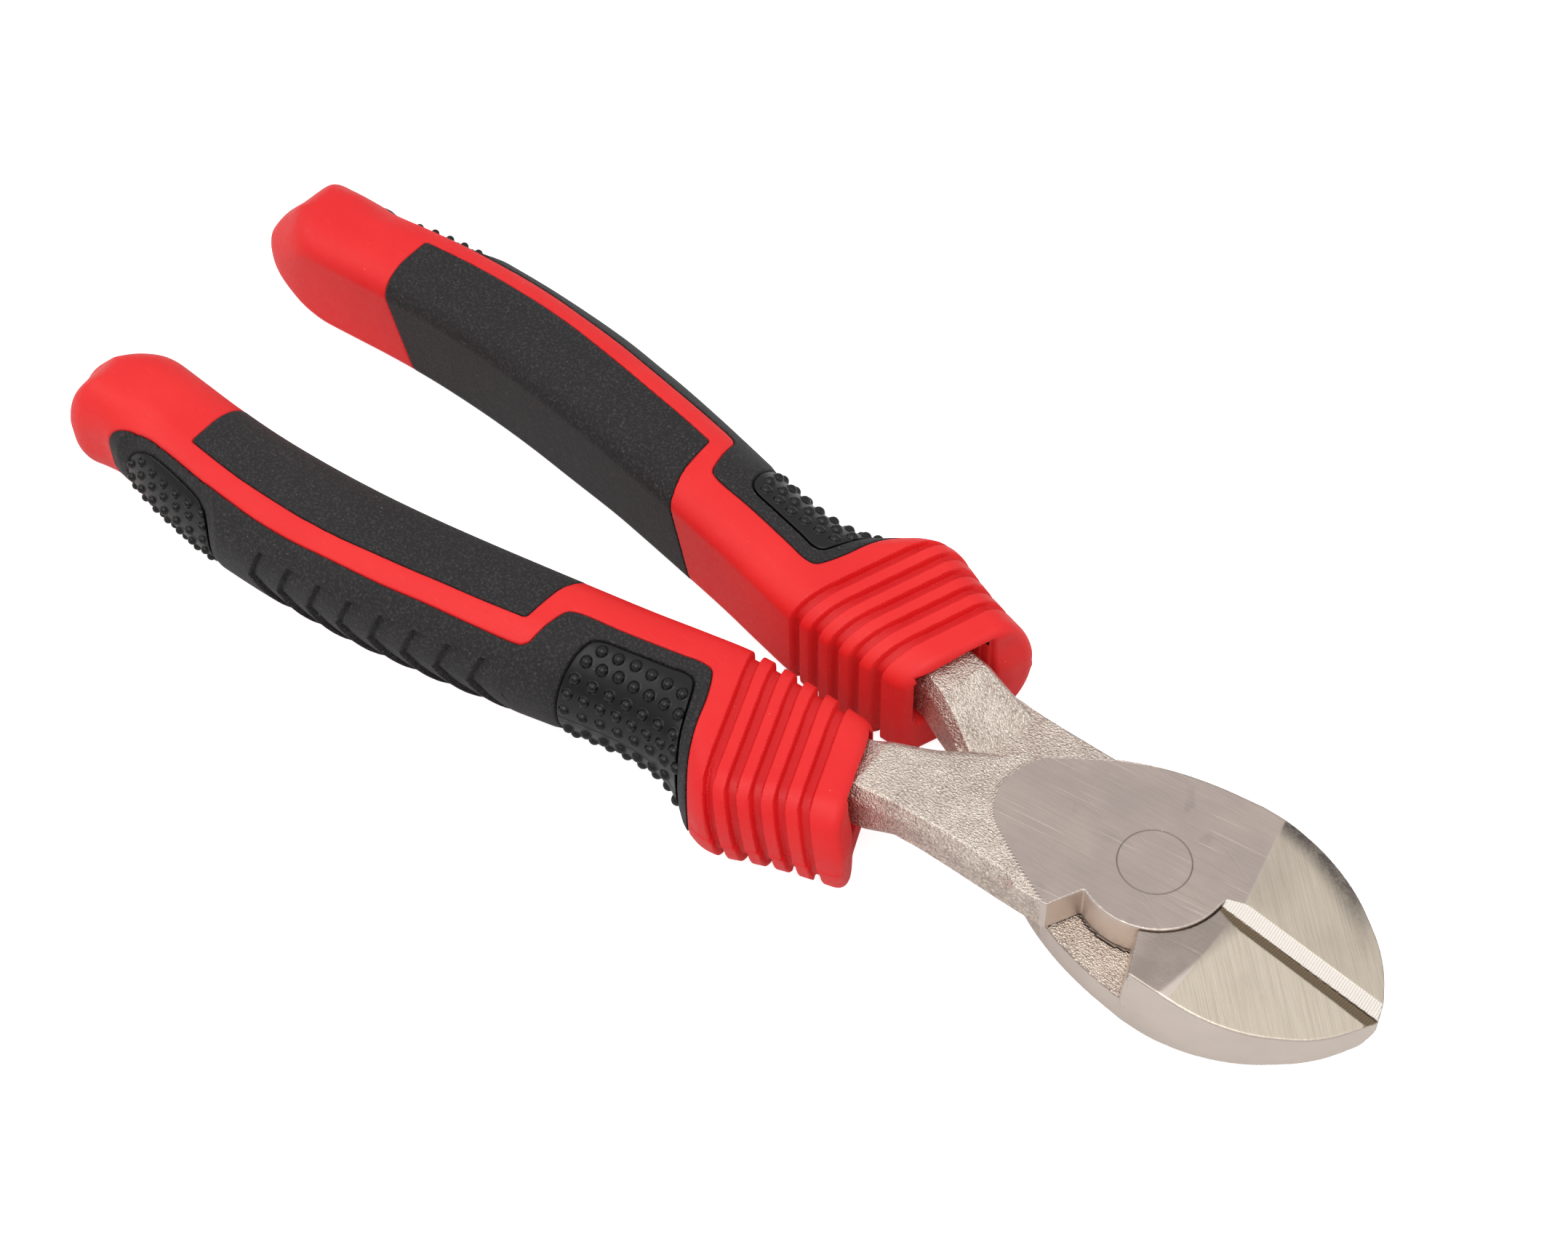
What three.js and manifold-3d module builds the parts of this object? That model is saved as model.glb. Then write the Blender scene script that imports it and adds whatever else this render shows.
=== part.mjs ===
// Diagonal cutting pliers, lap-joint pattern, 200 mm class, jaws closed.
// Millimetres. Origin on the pivot axis at the ground underside of the head,
// +X towards the tip of the jaws, +Z up out of the ground head. The upper half has
// its jaw on +Y and its handle on -Y; the lower half has them the other way round.
import * as THREE from 'three';
import { mergeVertices } from 'three/addons/utils/BufferGeometryUtils.js';
import Module from 'manifold-3d';

// ---- driving dimensions -------------------------------------------------
const HEAD_T = 11.4;               // ground head thickness
const LAP_Z = HEAD_T / 2;          // lap plane, where the two halves slide
const LAP_GAP = 0.15;              // half of the running gap at the lap plane
const LAP_FACE = LAP_Z + LAP_GAP;  // underside of the upper half's lap
const EDGE_GAP = 0.1;              // half of the gap between the closed cutting edges
const OVERLAP = 0.5;               // how far joined blocks run into each other

const RIVET_R = 4.7;               // pivot rivet
const RIVET_BORE_R = 4.85;         // bore in both halves
const PIVOT_SEGMENTS = 48;
const BOSS_R = 9.9;                // round front of each lap
const SEAT_R = 10.2;               // concave seat that clears the opposite lap
const WALL_DEG = 242;              // back wall of the opening stop, on the lap
const WALL_R = 15.1;               // outer end of that wall
const SHOULDER_DEG = 67.5;         // shoulder of the opening stop, below the jaw
const SHOULDER_R = 16.5;           // outer end of that shoulder

const FACET_X = 12.8;              // where the jaw facets leave the ground face
const FACET_SLOPE = 0.176;         // fall of a facet towards the tip
const FACET_SIDE = 0.035;          // fall of a facet towards the side
const BEVEL_X = 10.15;             // rear end of the cutting bevels
const BEVEL_W = 1.9;               // width of each cutting bevel, above and below
const EDGE_DROP = 0.42;            // depth of the cutting edge at the lap's round front
const EDGE_SLOPE = 0.18;           // fall of the cutting edge towards the tip

const FORGE_DROP = 0.25;           // forged shank face below the ground face
const TANG_Z = [2.2, 9.2];         // flat tang inside the sleeve
const BEYOND_TANG_X = -150;        // rear end of the cutters that shape the tang

const GRIP_Z = [-6.1, 12.35];      // sleeve thickness, flat underside to flat top
const SKIN = 2.2;                  // thickness of the black inlays
const PAD_SKIN = 1.1;              // thickness of the pads
const FIT = 0.25;                  // gap left around a moulded-in piece
const GROOVE_W = 1.25;             // width of a sleeve groove
const GROOVE_D = 0.9;              // depth of a sleeve groove
const GROOVE_V = 4;                // distance v (see sleeves) at which GROOVE_X holds
const GROOVE_X = [-60.3, -56.8, -53.4, -49.9, -46.4]; // rear edges of the grooves
const GROOVE_LEAN = 0.385;         // forward lean towards the outer side

// ---- solids -------------------------------------------------------------
const wasm = await Module();
wasm.setup();
const { Manifold, Mesh: SolidMesh } = wasm;

function solidFrom(positions, indices) {
  return new Manifold(new SolidMesh({
    numProp: 3,
    vertProperties: new Float32Array(positions),
    triVerts: new Uint32Array(indices),
  }));
}

function solid(geometry) {
  const bare = geometry.clone();
  bare.deleteAttribute('normal');
  bare.deleteAttribute('uv');
  const merged = mergeVertices(bare, 1e-4);
  return solidFrom(merged.attributes.position.array, merged.index.array);
}

function toGeometry(shape) {
  const mesh = shape.getMesh();
  const geometry = new THREE.BufferGeometry();
  const positions = new Float32Array(mesh.vertProperties);
  geometry.setAttribute('position', new THREE.BufferAttribute(positions, 3));
  geometry.setIndex(new THREE.BufferAttribute(new Uint32Array(mesh.triVerts), 1));
  geometry.computeVertexNormals();
  return geometry;
}

// ---- plan outlines: lists of [x, y] -------------------------------------
const vector = ([x, y]) => new THREE.Vector2(x, y);

function isCounterClockwise(points) {
  const doubleArea = points.reduce((sum, [x, y], i) => {
    const [nextX, nextY] = points[(i + 1) % points.length];
    return sum + x * nextY - nextX * y;
  }, 0);
  return doubleArea >= 0;
}

const counterClockwise = (points) => (
  isCounterClockwise(points) ? points : [...points].reverse());

// at each point, the step to the left of travel that offsets both edges by 1;
// minCosine limits its length at sharp corners
function leftOffsets(points, minCosine) {
  return points.map((point, i) => {
    const here = vector(point);
    const arriving = here.clone().sub(vector(points.at(i - 1))).normalize();
    const leaving = vector(points[(i + 1) % points.length]).sub(here).normalize();
    const step = new THREE.Vector2(-(arriving.y + leaving.y), arriving.x + leaving.x);
    step.normalize();
    const cosine = step.y * arriving.x - step.x * arriving.y;
    return step.divideScalar(Math.max(minCosine, cosine));
  });
}

// outline moved outwards
function grow(points, distance) {
  const ordered = counterClockwise(points);
  const inward = leftOffsets(ordered, 0.5);
  return ordered.map(([x, y], i) => [
    x - inward[i].x * distance,
    y - inward[i].y * distance,
  ]);
}

// smooth open run through control points
function run(points, divisions) {
  const curve = new THREE.SplineCurve(points.map(vector));
  return curve.getPoints(divisions).map(({ x, y }) => [x, y]);
}

function polar(radius, degrees) {
  const angle = THREE.MathUtils.degToRad(degrees);
  return [radius * Math.cos(angle), radius * Math.sin(angle)];
}

// arc about the pivot that ends on the jaw's cutting-edge line
function arcToEdge(radius, startDeg, endDeg, divisions) {
  const points = [];
  for (let i = 0; i <= divisions; i++) {
    points.push(polar(radius, startDeg + ((endDeg - startDeg) * i) / divisions));
  }
  points[divisions][1] = EDGE_GAP;
  return points;
}

// ---- basic shapes -------------------------------------------------------
function extrude(points, depth) {
  const shape = new THREE.Shape(counterClockwise(points).map(vector));
  return new THREE.ExtrudeGeometry(shape, { depth, bevelEnabled: false });
}

// straight prism of a plan outline between two levels
function prism(points, bottom, top) {
  return solid(extrude(points, top - bottom).translate(0, 0, bottom));
}

// side view, a list of [x, z], carried across Y from -reach to reach
function sideProfile(points, reach) {
  return solid(extrude(points, 2 * reach).rotateX(Math.PI / 2).translate(0, reach, 0));
}

function pivotCylinder(radius, height) {
  const geometry = new THREE.CylinderGeometry(radius, radius, height, PIVOT_SEGMENTS);
  return solid(geometry.rotateX(Math.PI / 2).translate(0, 0, LAP_Z));
}

// Closed solid over a plan outline whose side is a quarter oval above and below.
// rounding holds [reach in, reach down] for each outline point. The outline
// starts at the front, runs back along one long side and returns on the other.
function pillow(points, rounding, [bottom, top], inset, steps) {
  const MIN_ROUNDING = 0.4;
  const MIN_HALF_SIDE = 0.5; // half of the least upright side between the ovals
  const count = points.length;
  const middle = (bottom + top) / 2;
  const halfHeight = (top - bottom) / 2;
  const turn = isCounterClockwise(points) ? 1 : -1;
  const inward = leftOffsets(points, 0.6).map((step) => step.multiplyScalar(turn));
  const positions = [];
  const rings = [];
  const triangles = [];

  const addRing = (k, up) => {
    const angle = (Math.PI / 2) * (k / steps);
    rings.push(points.map(([x, y], j) => {
      const [reachIn, reachDown] = rounding[j];
      const drop = Math.min(Math.max(MIN_ROUNDING, reachDown - inset),
        halfHeight - MIN_HALF_SIDE);
      const shift = inset
        + Math.max(MIN_ROUNDING, reachIn - inset) * (1 - Math.cos(angle));
      const z = halfHeight - drop + drop * Math.sin(angle);
      positions.push(x + inward[j].x * shift, y + inward[j].y * shift, middle + up * z);
      return positions.length / 3 - 1;
    }));
  };
  for (let k = steps; k >= 0; k--) addRing(k, -1);
  for (let k = 0; k <= steps; k++) addRing(k, 1);

  for (let k = 0; k + 1 < rings.length; k++) {
    const [below, above] = [rings[k], rings[k + 1]];
    for (let j = 0; j < count; j++) {
      const next = (j + 1) % count;
      triangles.push([below[j], below[next], above[next]]);
      triangles.push([below[j], above[next], above[j]]);
    }
  }

  // flat ends, zipped from the front to the rear between the two long sides
  const addCap = (ring, up) => {
    let i = 0;
    let j = count - 1;
    while (j - i > 1) {
      const advanceFirst = positions[3 * ring[i + 1]] > positions[3 * ring[j - 1]];
      const [a, b, c] = advanceFirst ? [i, i + 1, j] : [i, j - 1, j];
      triangles.push(up ? [ring[a], ring[b], ring[c]] : [ring[a], ring[c], ring[b]]);
      if (advanceFirst) i++;
      else j--;
    }
  };
  addCap(rings[0], false);
  addCap(rings.at(-1), true);

  if (turn < 0) triangles.forEach((triangle) => triangle.reverse());
  return solidFrom(positions, triangles.flat());
}

// ---- outlines of a forged half ------------------------------------------
// [x, y] of the upper half. Each run starts where the one before it ends,
// so its first point is dropped.
const jawSide = run([
  [33, EDGE_GAP], [32.7, 0.9], [31.9, 2.2], [29.9, 5.0], [27.9, 7.3], [25.2, 9.6],
  [22.3, 11.6], [19, 13.3], [15, 14.7], [11, 15.25], [6.3, 15.25],
], 22);
const lapSide = run([
  [6.3, 15.25], [0, 14.4], [-5.5, 13], [-11.5, 10.5], [-16, 7.6], [-19.2, 5.4],
  [-21.4, 4.0],
], 12).slice(1);
const shankInner = run([
  [-21.4, 4.0], [-27, 1.0], [-31.5, -1.9], [-35.5, -4.0], [-40, -5.8],
], 7).slice(1);
const tangInner = run([
  [-40, -5.8], [-50, -7.2], [-61, -9.2], [-75, -11.7], [-87, -13.7], [-100, -15.6],
  [-115, -17.2], [-130, -18.2], [-139, -18.8],
], 9).slice(1);
const tangOuter = run([
  [-140, -20.4], [-139, -23.2], [-130, -24.3], [-115, -24], [-100, -22.3],
  [-87, -20.2], [-75, -18.2], [-61, -16.6], [-50, -15.6], [-42, -14.7],
], 10);
// its last point gives way to the stop wall
const shankOuter = run([
  [-42, -14.7], [-36.2, -13.6], [-31.5, -12.8], [-26.5, -12.5], [-20, -12.4],
  [-13, -12.7], [-6.7, -13.6],
], 9).slice(1, -1);

const topOutline = [
  ...jawSide, ...lapSide, ...shankInner, ...tangInner, ...tangOuter, ...shankOuter,
  polar(WALL_R, WALL_DEG), ...arcToEdge(BOSS_R, WALL_DEG, 360, 22),
];

// the jaw below the lap plane stops at the seat and at the opening shoulder
const lowerJawOutline = [
  ...jawSide, polar(SHOULDER_R, SHOULDER_DEG), ...arcToEdge(SEAT_R, SHOULDER_DEG, 0, 12),
];

// the part of the handle that also has material below the lap plane
const lowerHandleOutline = [
  ...shankInner.slice(1), ...tangInner, ...tangOuter, ...shankOuter.slice(0, 6),
];

// ground boss, its rear edge curved and the rest well outside the head
const bossOutline = [
  ...run([
    [-4, 20], [-16, 7.6], [-19.2, 5.4], [-21.2, 2.4], [-21.8, -1.4], [-21, -4.9],
    [-18.2, -8], [-12.5, -11.1], [-6.9, -13.6], [0, -18],
  ], 16),
  [20, -18], [20, 20],
];

// side views, [x, z]
const lowerHandleSide = [
  [-28.9, LAP_FACE], [-28.9, LAP_FACE + 1], [BEYOND_TANG_X, LAP_FACE + 1],
  [BEYOND_TANG_X, TANG_Z[0]], [-38.5, TANG_Z[0]],
];
const forgedFaceSide = [
  [-8, HEAD_T - FORGE_DROP], [-37, HEAD_T - FORGE_DROP], [-43, TANG_Z[1]],
  [BEYOND_TANG_X, TANG_Z[1]], [BEYOND_TANG_X, HEAD_T + 2], [-8, HEAD_T + 2],
];
const FORGING_REACH = 30; // half width of the side-view cutters

// ---- forged halves ------------------------------------------------------
// the handle thickens downwards behind the lap
function lowerHandle() {
  return prism(lowerHandleOutline, 0, LAP_FACE + OVERLAP)
    .intersect(sideProfile(lowerHandleSide, FORGING_REACH));
}

// takes the forged faces below the ground boss and thins the tang
function forgedFaceCutter() {
  return sideProfile(forgedFaceSide, FORGING_REACH)
    .subtract(prism(bossOutline, HEAD_T - 2, HEAD_T + 3));
}

// Cutting block over a sloping floor. floorAt and top are heights above the
// ground face; with up = -1 the block is mirrored to cut the ground underside.
function slopingCutter(up, { xRange, yRange, top, floorAt }) {
  const geometry = new THREE.BoxGeometry(1, 1, 1);
  const corners = geometry.attributes.position;
  for (let i = 0; i < corners.count; i++) {
    const x = xRange[corners.getX(i) > 0 ? 1 : 0];
    const y = yRange[corners.getY(i) > 0 ? 1 : 0];
    const z = corners.getZ(i) > 0 ? top : floorAt(x, y);
    corners.setXYZ(i, x, y, z);
  }
  if (up > 0) {
    geometry.translate(0, 0, HEAD_T);
  } else {
    geometry.scale(1, 1, -1);
    // mirroring turns the faces inside out, so swap two corners of each
    const index = geometry.index.array;
    for (let i = 0; i < index.length; i += 3) {
      [index[i], index[i + 1]] = [index[i + 1], index[i]];
    }
  }
  return solid(geometry);
}

function facetCutter(up) {
  return slopingCutter(up, {
    xRange: [5, 65],
    yRange: [-1, 39],
    top: 14,
    floorAt: (x, y) => -FACET_SLOPE * (x - FACET_X) - FACET_SIDE * y,
  });
}

// the bevel rises from the edge at y = 0 to the ground face at FACET_X, BEVEL_W
function bevelCutter(up) {
  const rise = (EDGE_DROP + EDGE_SLOPE * (FACET_X - BOSS_R)) / BEVEL_W;
  return slopingCutter(up, {
    xRange: [BEVEL_X, 60],
    yRange: [-4, 8],
    top: 16,
    floorAt: (x, y) => -EDGE_DROP - EDGE_SLOPE * (x - BOSS_R) + rise * y,
  });
}

// upper half: lap on top, jaw on +Y, handle on -Y
function forgedHalf() {
  return prism(topOutline, LAP_FACE, HEAD_T)
    .add(prism(lowerJawOutline, 0, LAP_FACE + OVERLAP))
    .add(lowerHandle())
    .subtract(forgedFaceCutter())
    .subtract(facetCutter(1))
    .subtract(facetCutter(-1))
    .subtract(bevelCutter(1))
    .subtract(bevelCutter(-1))
    .subtract(pivotCylinder(RIVET_BORE_R, HEAD_T + 4));
}

// half a turn about the X direction at the lap plane: gives the lower half
function turnedOver(shape) {
  return solid(toGeometry(shape).rotateX(Math.PI).translate(0, 0, HEAD_T));
}

// ---- sleeve outlines ----------------------------------------------------
// [x, v]: v is the distance from the middle plane between the handles.
const sleeveInner = [
  [-40.3, 3.5], [-50, 3.2], [-60, 3.6], [-67, 4.9], [-75, 6.6], [-85, 8.4], [-92, 9.6],
  [-100, 10.9], [-109, 12.2], [-118, 13.2], [-127, 13.8], [-137, 14.0], [-145, 13.8],
  [-152, 13.3],
];
const sleeveRear = [
  [-158.5, 12.9], [-163.8, 12.9], [-167.4, 14.4], [-169.5, 17.6], [-170, 21.2],
  [-169.3, 24.2], [-167.6, 26.4], [-165.4, 27.5], [-163, 27.6],
];
const sleeveOuter = [
  [-159.4, 27.7], [-156.6, 28.4], [-150, 29.9], [-141, 31], [-133, 31.6], [-124, 31.5],
  [-111, 30.6], [-103, 29.4], [-98.6, 28.7], [-90, 27], [-78, 24.3], [-72.8, 23.2],
  [-68, 22.5], [-64, 22.4], [-60.5, 23.2], [-57.5, 24.7], [-54.5, 26.3], [-51.5, 27.3],
  [-48.5, 27.2], [-45, 26.2], [-41, 24.8], [-37.8, 23.3], [-35, 21.6],
];
const sleeveFront = [[-33.6, 19.0]];
const sleeveOutline = [...sleeveInner, ...sleeveRear, ...sleeveOuter, ...sleeveFront];

// edge rounding, [reach in from the outline, reach down from the flats]
const ROUND_FRONT = [2, 3];
const ROUND_INNER = [5.2, 5.2];
const ROUND_REAR = [5, 5.6];

function outerRounding([x]) {
  if (x > -36) return [2.4, 5];
  if (x > -56) return [5.5, 7.6];
  if (x < -156) return [5.2, 6.6];
  return [6.6, 8];
}

const sleeveRounding = [
  ...sleeveInner.map((_, i) => (i === 0 ? ROUND_FRONT : ROUND_INNER)),
  ...sleeveRear.map(() => ROUND_REAR),
  ...sleeveOuter.map(outerRounding),
  ROUND_FRONT,
];

const innerInlay = [
  [-143.6, -2], [-143.9, 13], [-143.8, 23.6], [-133, 24.6], [-122.5, 24.6],
  [-111, 23.4], [-100, 21.6], [-87.2, 19.3], [-86.2, 13], [-84.6, -2],
];
const outerInlay = [
  [-157.8, 40], [-157.8, 29.4], [-156.4, 27.9], [-153.6, 26.8], [-150.4, 26.4],
  [-145, 26.8], [-139, 27.3], [-128.3, 28], [-116.7, 27.2], [-108.3, 26.3], [-100, 25],
  [-86.5, 22.8], [-84, 21.6], [-83.7, 15.6], [-82.5, 14.6], [-75, 13.4], [-63.4, 11.2],
  [-61.4, 12.2], [-59.4, 15.8], [-57.3, 20.8], [-54.2, 26], [-52.4, 29.4], [-52.4, 40],
];
const frontPad = [
  [-77.2, 38], [-77.2, 16.6], [-75.8, 15.2], [-63.6, 13], [-62.2, 13.8], [-60.2, 18],
  [-57.8, 22.8], [-56.6, 38],
];
const rearPad = [
  [-154.3, 38], [-153.9, 28.8], [-151.6, 27.6], [-149.2, 27.5], [-145.4, 27.9],
  [-141, 28.5], [-137.7, 29.3], [-135.8, 30.4], [-134.8, 31.4], [-134.6, 38],
];

const channel = [
  [-30, 3.0], [-40.6, 4.9], [-50, 6.4], [-61, 8.4], [-75, 10.9], [-87, 12.9],
  [-100, 14.8], [-115, 16.4], [-130, 17.4], [-140, 18.0], [-141.3, 20.4],
  [-140, 24.2], [-130, 25.0], [-115, 24.7], [-100, 23.0], [-87, 20.9], [-75, 18.9],
  [-61, 17.4], [-50, 16.8], [-41, 16.8], [-30, 17.2],
];
const mouth = [[-30, 1], [-43.2, 4.6], [-43.6, 16.6], [-37, 17.4], [-30, 17.4]];
// side view of the mouth, [x, z]: it narrows from the shank to the tang
const mouthSide = [
  [-30, -0.35], [-37.4, -0.35], [-43.6, 1.8], [-43.6, 9.6], [-37.4, 11.45],
  [-30, 11.45],
];

// ---- sleeves ------------------------------------------------------------
// side is the sign of Y: -1 for the upper half's handle, +1 for the lower half's
const onSide = (side, points) => points.map(([x, v]) => [x, side * v]);

function sleeveBody(side) {
  return pillow(onSide(side, sleeveOutline), sleeveRounding, GRIP_Z, 0, 4);
}

// the sleeve's form, a given depth below its surface
function sleeveCore(side, depth) {
  const levels = [GRIP_Z[0] + depth, GRIP_Z[1] - depth];
  return pillow(onSide(side, sleeveOutline), sleeveRounding, levels, depth, 3);
}

// upright block over an outline, taller than the sleeve
function column(side, points, margin = 0) {
  return prism(grow(onSide(side, points), margin), GRIP_Z[0] - 3, GRIP_Z[1] + 3);
}

// piece of the sleeve's skin
function skinPiece(side, points, thickness) {
  return sleeveBody(side)
    .intersect(column(side, points))
    .subtract(sleeveCore(side, thickness));
}

// recesses for two skin pieces, with the fitting gap
function recesses(side, first, second, thickness) {
  return column(side, first, FIT)
    .add(column(side, second, FIT))
    .subtract(sleeveCore(side, thickness + FIT));
}

// leaning grooves that run right round the front part of the sleeve
function grooves(side) {
  const bands = GROOVE_X.map((startX) => {
    const line = [-2, 4, 10, 15, 20, 25, 31].map(
      (v) => [startX + GROOVE_LEAN * (v - GROOVE_V), v]);
    const frontLine = line.map(([x, v]) => [x + GROOVE_W, v]);
    return column(side, [...line, ...frontLine.reverse()]);
  });
  return bands.reduce((joined, band) => joined.add(band))
    .subtract(sleeveCore(side, GROOVE_D));
}

function tangChannel(side) {
  return prism(onSide(side, channel), TANG_Z[0] - FIT, TANG_Z[1] + FIT);
}

// wider front end of the channel
function channelMouth(side) {
  return prism(onSide(side, mouth), -2, 14).intersect(sideProfile(mouthSide, 40));
}

function redSleeve(side) {
  return sleeveBody(side)
    .subtract(recesses(side, innerInlay, outerInlay, SKIN))
    .subtract(grooves(side))
    .subtract(tangChannel(side))
    .subtract(channelMouth(side));
}

function outerInlayPiece(side) {
  return skinPiece(side, outerInlay, SKIN)
    .subtract(recesses(side, frontPad, rearPad, PAD_SKIN));
}

// ---- materials ----------------------------------------------------------
const material = (color, { roughness, metalness }) => (
  new THREE.MeshStandardMaterial({ color, roughness, metalness }));
const forgedSteel = () => material(0xb5aaa2, { roughness: 0.38, metalness: 1 });
const rivetSteel = () => material(0xb8ada5, { roughness: 0.35, metalness: 1 });
const redPlastic = () => material(0xe23a38, { roughness: 0.5, metalness: 0 });
const mattBlack = () => material(0x2b2a2b, { roughness: 0.75, metalness: 0 });
const glossBlack = () => material(0x1c1c1d, { roughness: 0.3, metalness: 0 });

// ---- assembly -----------------------------------------------------------
function place(parent, name, shape, surface) {
  const mesh = new THREE.Mesh(toGeometry(shape), surface);
  mesh.name = name;
  parent.add(mesh);
}

function placeGrip(parent, tag, side) {
  const frontPiece = skinPiece(side, frontPad, PAD_SKIN);
  const rearPiece = skinPiece(side, rearPad, PAD_SKIN);
  place(parent, `${tag}_grip_sleeve_red`, redSleeve(side), redPlastic());
  place(parent, `${tag}_grip_inner_inlay`, skinPiece(side, innerInlay, SKIN), mattBlack());
  place(parent, `${tag}_grip_outer_inlay`, outerInlayPiece(side), mattBlack());
  place(parent, `${tag}_grip_front_pad`, frontPiece, glossBlack());
  place(parent, `${tag}_grip_rear_pad`, rearPiece, glossBlack());
}

const group = new THREE.Group();
group.name = 'diagonal_cutting_pliers';
const upper = new THREE.Group();
const lower = new THREE.Group();
group.add(upper, lower);

const upperHalf = forgedHalf();
place(upper, 'upper_half_jaw_and_tang', upperHalf, forgedSteel());
place(lower, 'lower_half_jaw_and_tang', turnedOver(upperHalf), forgedSteel());
place(upper, 'pivot_rivet', pivotCylinder(RIVET_R, HEAD_T), rivetSteel());
placeGrip(upper, 'upper', -1);
placeGrip(lower, 'lower', 1);

export default group;
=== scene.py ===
# Diagonal cutting pliers, lying flat.
# The rivet's axis is +Z through the origin, the jaws point along +X, the handles along -X.
# The upper half has its lap above the lap plane, its jaw at +Y and its handle at -Y; the
# lower half is the same forging turned over about X.
# Shapes are worked out in millimetres as signed distance fields (negative inside) and
# meshed; points become metres when a mesh is made.
from functools import lru_cache
from itertools import product
from math import radians
import bpy
import numpy as np
from mathutils import Matrix, Vector


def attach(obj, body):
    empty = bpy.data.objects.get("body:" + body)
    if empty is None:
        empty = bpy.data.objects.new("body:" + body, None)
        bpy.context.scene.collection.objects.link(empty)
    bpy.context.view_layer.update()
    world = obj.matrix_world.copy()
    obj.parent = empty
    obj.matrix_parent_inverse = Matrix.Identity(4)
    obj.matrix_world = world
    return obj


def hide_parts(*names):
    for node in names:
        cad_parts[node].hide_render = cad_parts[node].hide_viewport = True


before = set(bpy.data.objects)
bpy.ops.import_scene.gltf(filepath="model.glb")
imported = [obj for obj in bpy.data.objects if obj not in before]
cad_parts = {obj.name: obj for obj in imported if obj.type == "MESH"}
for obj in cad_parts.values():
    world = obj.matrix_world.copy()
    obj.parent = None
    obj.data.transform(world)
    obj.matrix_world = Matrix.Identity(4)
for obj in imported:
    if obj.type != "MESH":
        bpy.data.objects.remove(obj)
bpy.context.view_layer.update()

MM = 0.001
SLEEVE_CELL = 0.27
METAL_CELL = 0.25
RIVET_CELL = 0.16

# Forging and rivet
HEIGHT = 11.4                   # full thickness, from z = 0
LAP_Z = HEIGHT / 2
LAP_FACE = LAP_Z + 0.15         # underside of the upper half's lap
JAW_EDGE_Y = 0.1                # jaw's inner face, just off the middle plane
BORE_RADIUS, RIVET_RADIUS = 4.73, 4.70
RAMP_FLOOR, TANG_FLOOR = 1.0, 2.2   # underside of the shank, at the ramp's foot and the tang

# Sleeves, described for the lower half, whose handle lies at +Y
SLEEVE_LOW, SLEEVE_HIGH = -6.1, 12.35
MID_Z, HALF_Z = (SLEEVE_LOW + SLEEVE_HIGH) / 2, (SLEEVE_HIGH - SLEEVE_LOW) / 2
MOULD_Z = 2.6                   # height of the mould line
INLAY_DEPTH, PAD_DEPTH, REAR_EXTRA = 2.2, 1.2, 0.4
SEAT_GAP, SKIN = 0.05, 0.04     # clearance round an inlay, height of an inlay's face
FRONT_DROP = 0.16               # how far the front pad lies below the sleeve's skin
GROOVE_X = [-59.65, -56.2, -52.75, -49.3, -45.75]
GROOVE_HALF, GROOVE_SLOPE = 0.86, 0.933
CHEVRON_X, CHEVRON_PITCH, CHEVRON_COUNT = -127.15, 5.13, 9
CHEVRON_TIP_Z = 3.2


# ---------------------------------------------------------------- fields
def soft_max(a, b, radius):
    h = np.maximum(radius - np.abs(a - b), 0.0) / radius
    return np.maximum(a, b) + h * h * radius * 0.25


def soft_min(a, b, radius):
    return -soft_max(-a, -b, radius)


def ease(t):
    t = np.clip(t, 0.0, 1.0)
    return t * t * (3 - 2 * t)


def rise(value, start, width):
    """0 up to start, easing to 1 over the width above it."""
    return ease((value - start) / width)


def fall(value, start, width):
    """0 down to start, easing to 1 over the width below it."""
    return ease((start - value) / width)


def curve(points, count):
    """Centripetal Catmull-Rom curve through the points, with count steps to a span."""
    p = np.array(points, float)
    p = np.vstack([2 * p[0] - p[1], p, 2 * p[-1] - p[-2]])
    out = []
    for p0, p1, p2, p3 in zip(p, p[1:], p[2:], p[3:]):
        d1 = max(np.linalg.norm(p1 - p0), 1e-6) ** 0.5
        d2 = max(np.linalg.norm(p2 - p1), 1e-6) ** 0.5
        d3 = max(np.linalg.norm(p3 - p2), 1e-6) ** 0.5
        m1 = ((p1 - p0) / d1 - (p2 - p0) / (d1 + d2) + (p2 - p1) / d2) * d2
        m2 = ((p2 - p1) / d2 - (p3 - p1) / (d2 + d3) + (p3 - p2) / d3) * d2
        for t in np.arange(count) / count:
            t2, t3 = t * t, t * t * t
            out.append((2 * t3 - 3 * t2 + 1) * p1 + (t3 - 2 * t2 + t) * m1
                       + (-2 * t3 + 3 * t2) * p2 + (t3 - t2) * m2)
    out.append(p[-2])
    return np.array(out)


def polar(radius, degrees):
    turn = np.radians(degrees)
    return np.stack([radius * np.cos(turn), radius * np.sin(turn)], -1)


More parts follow.
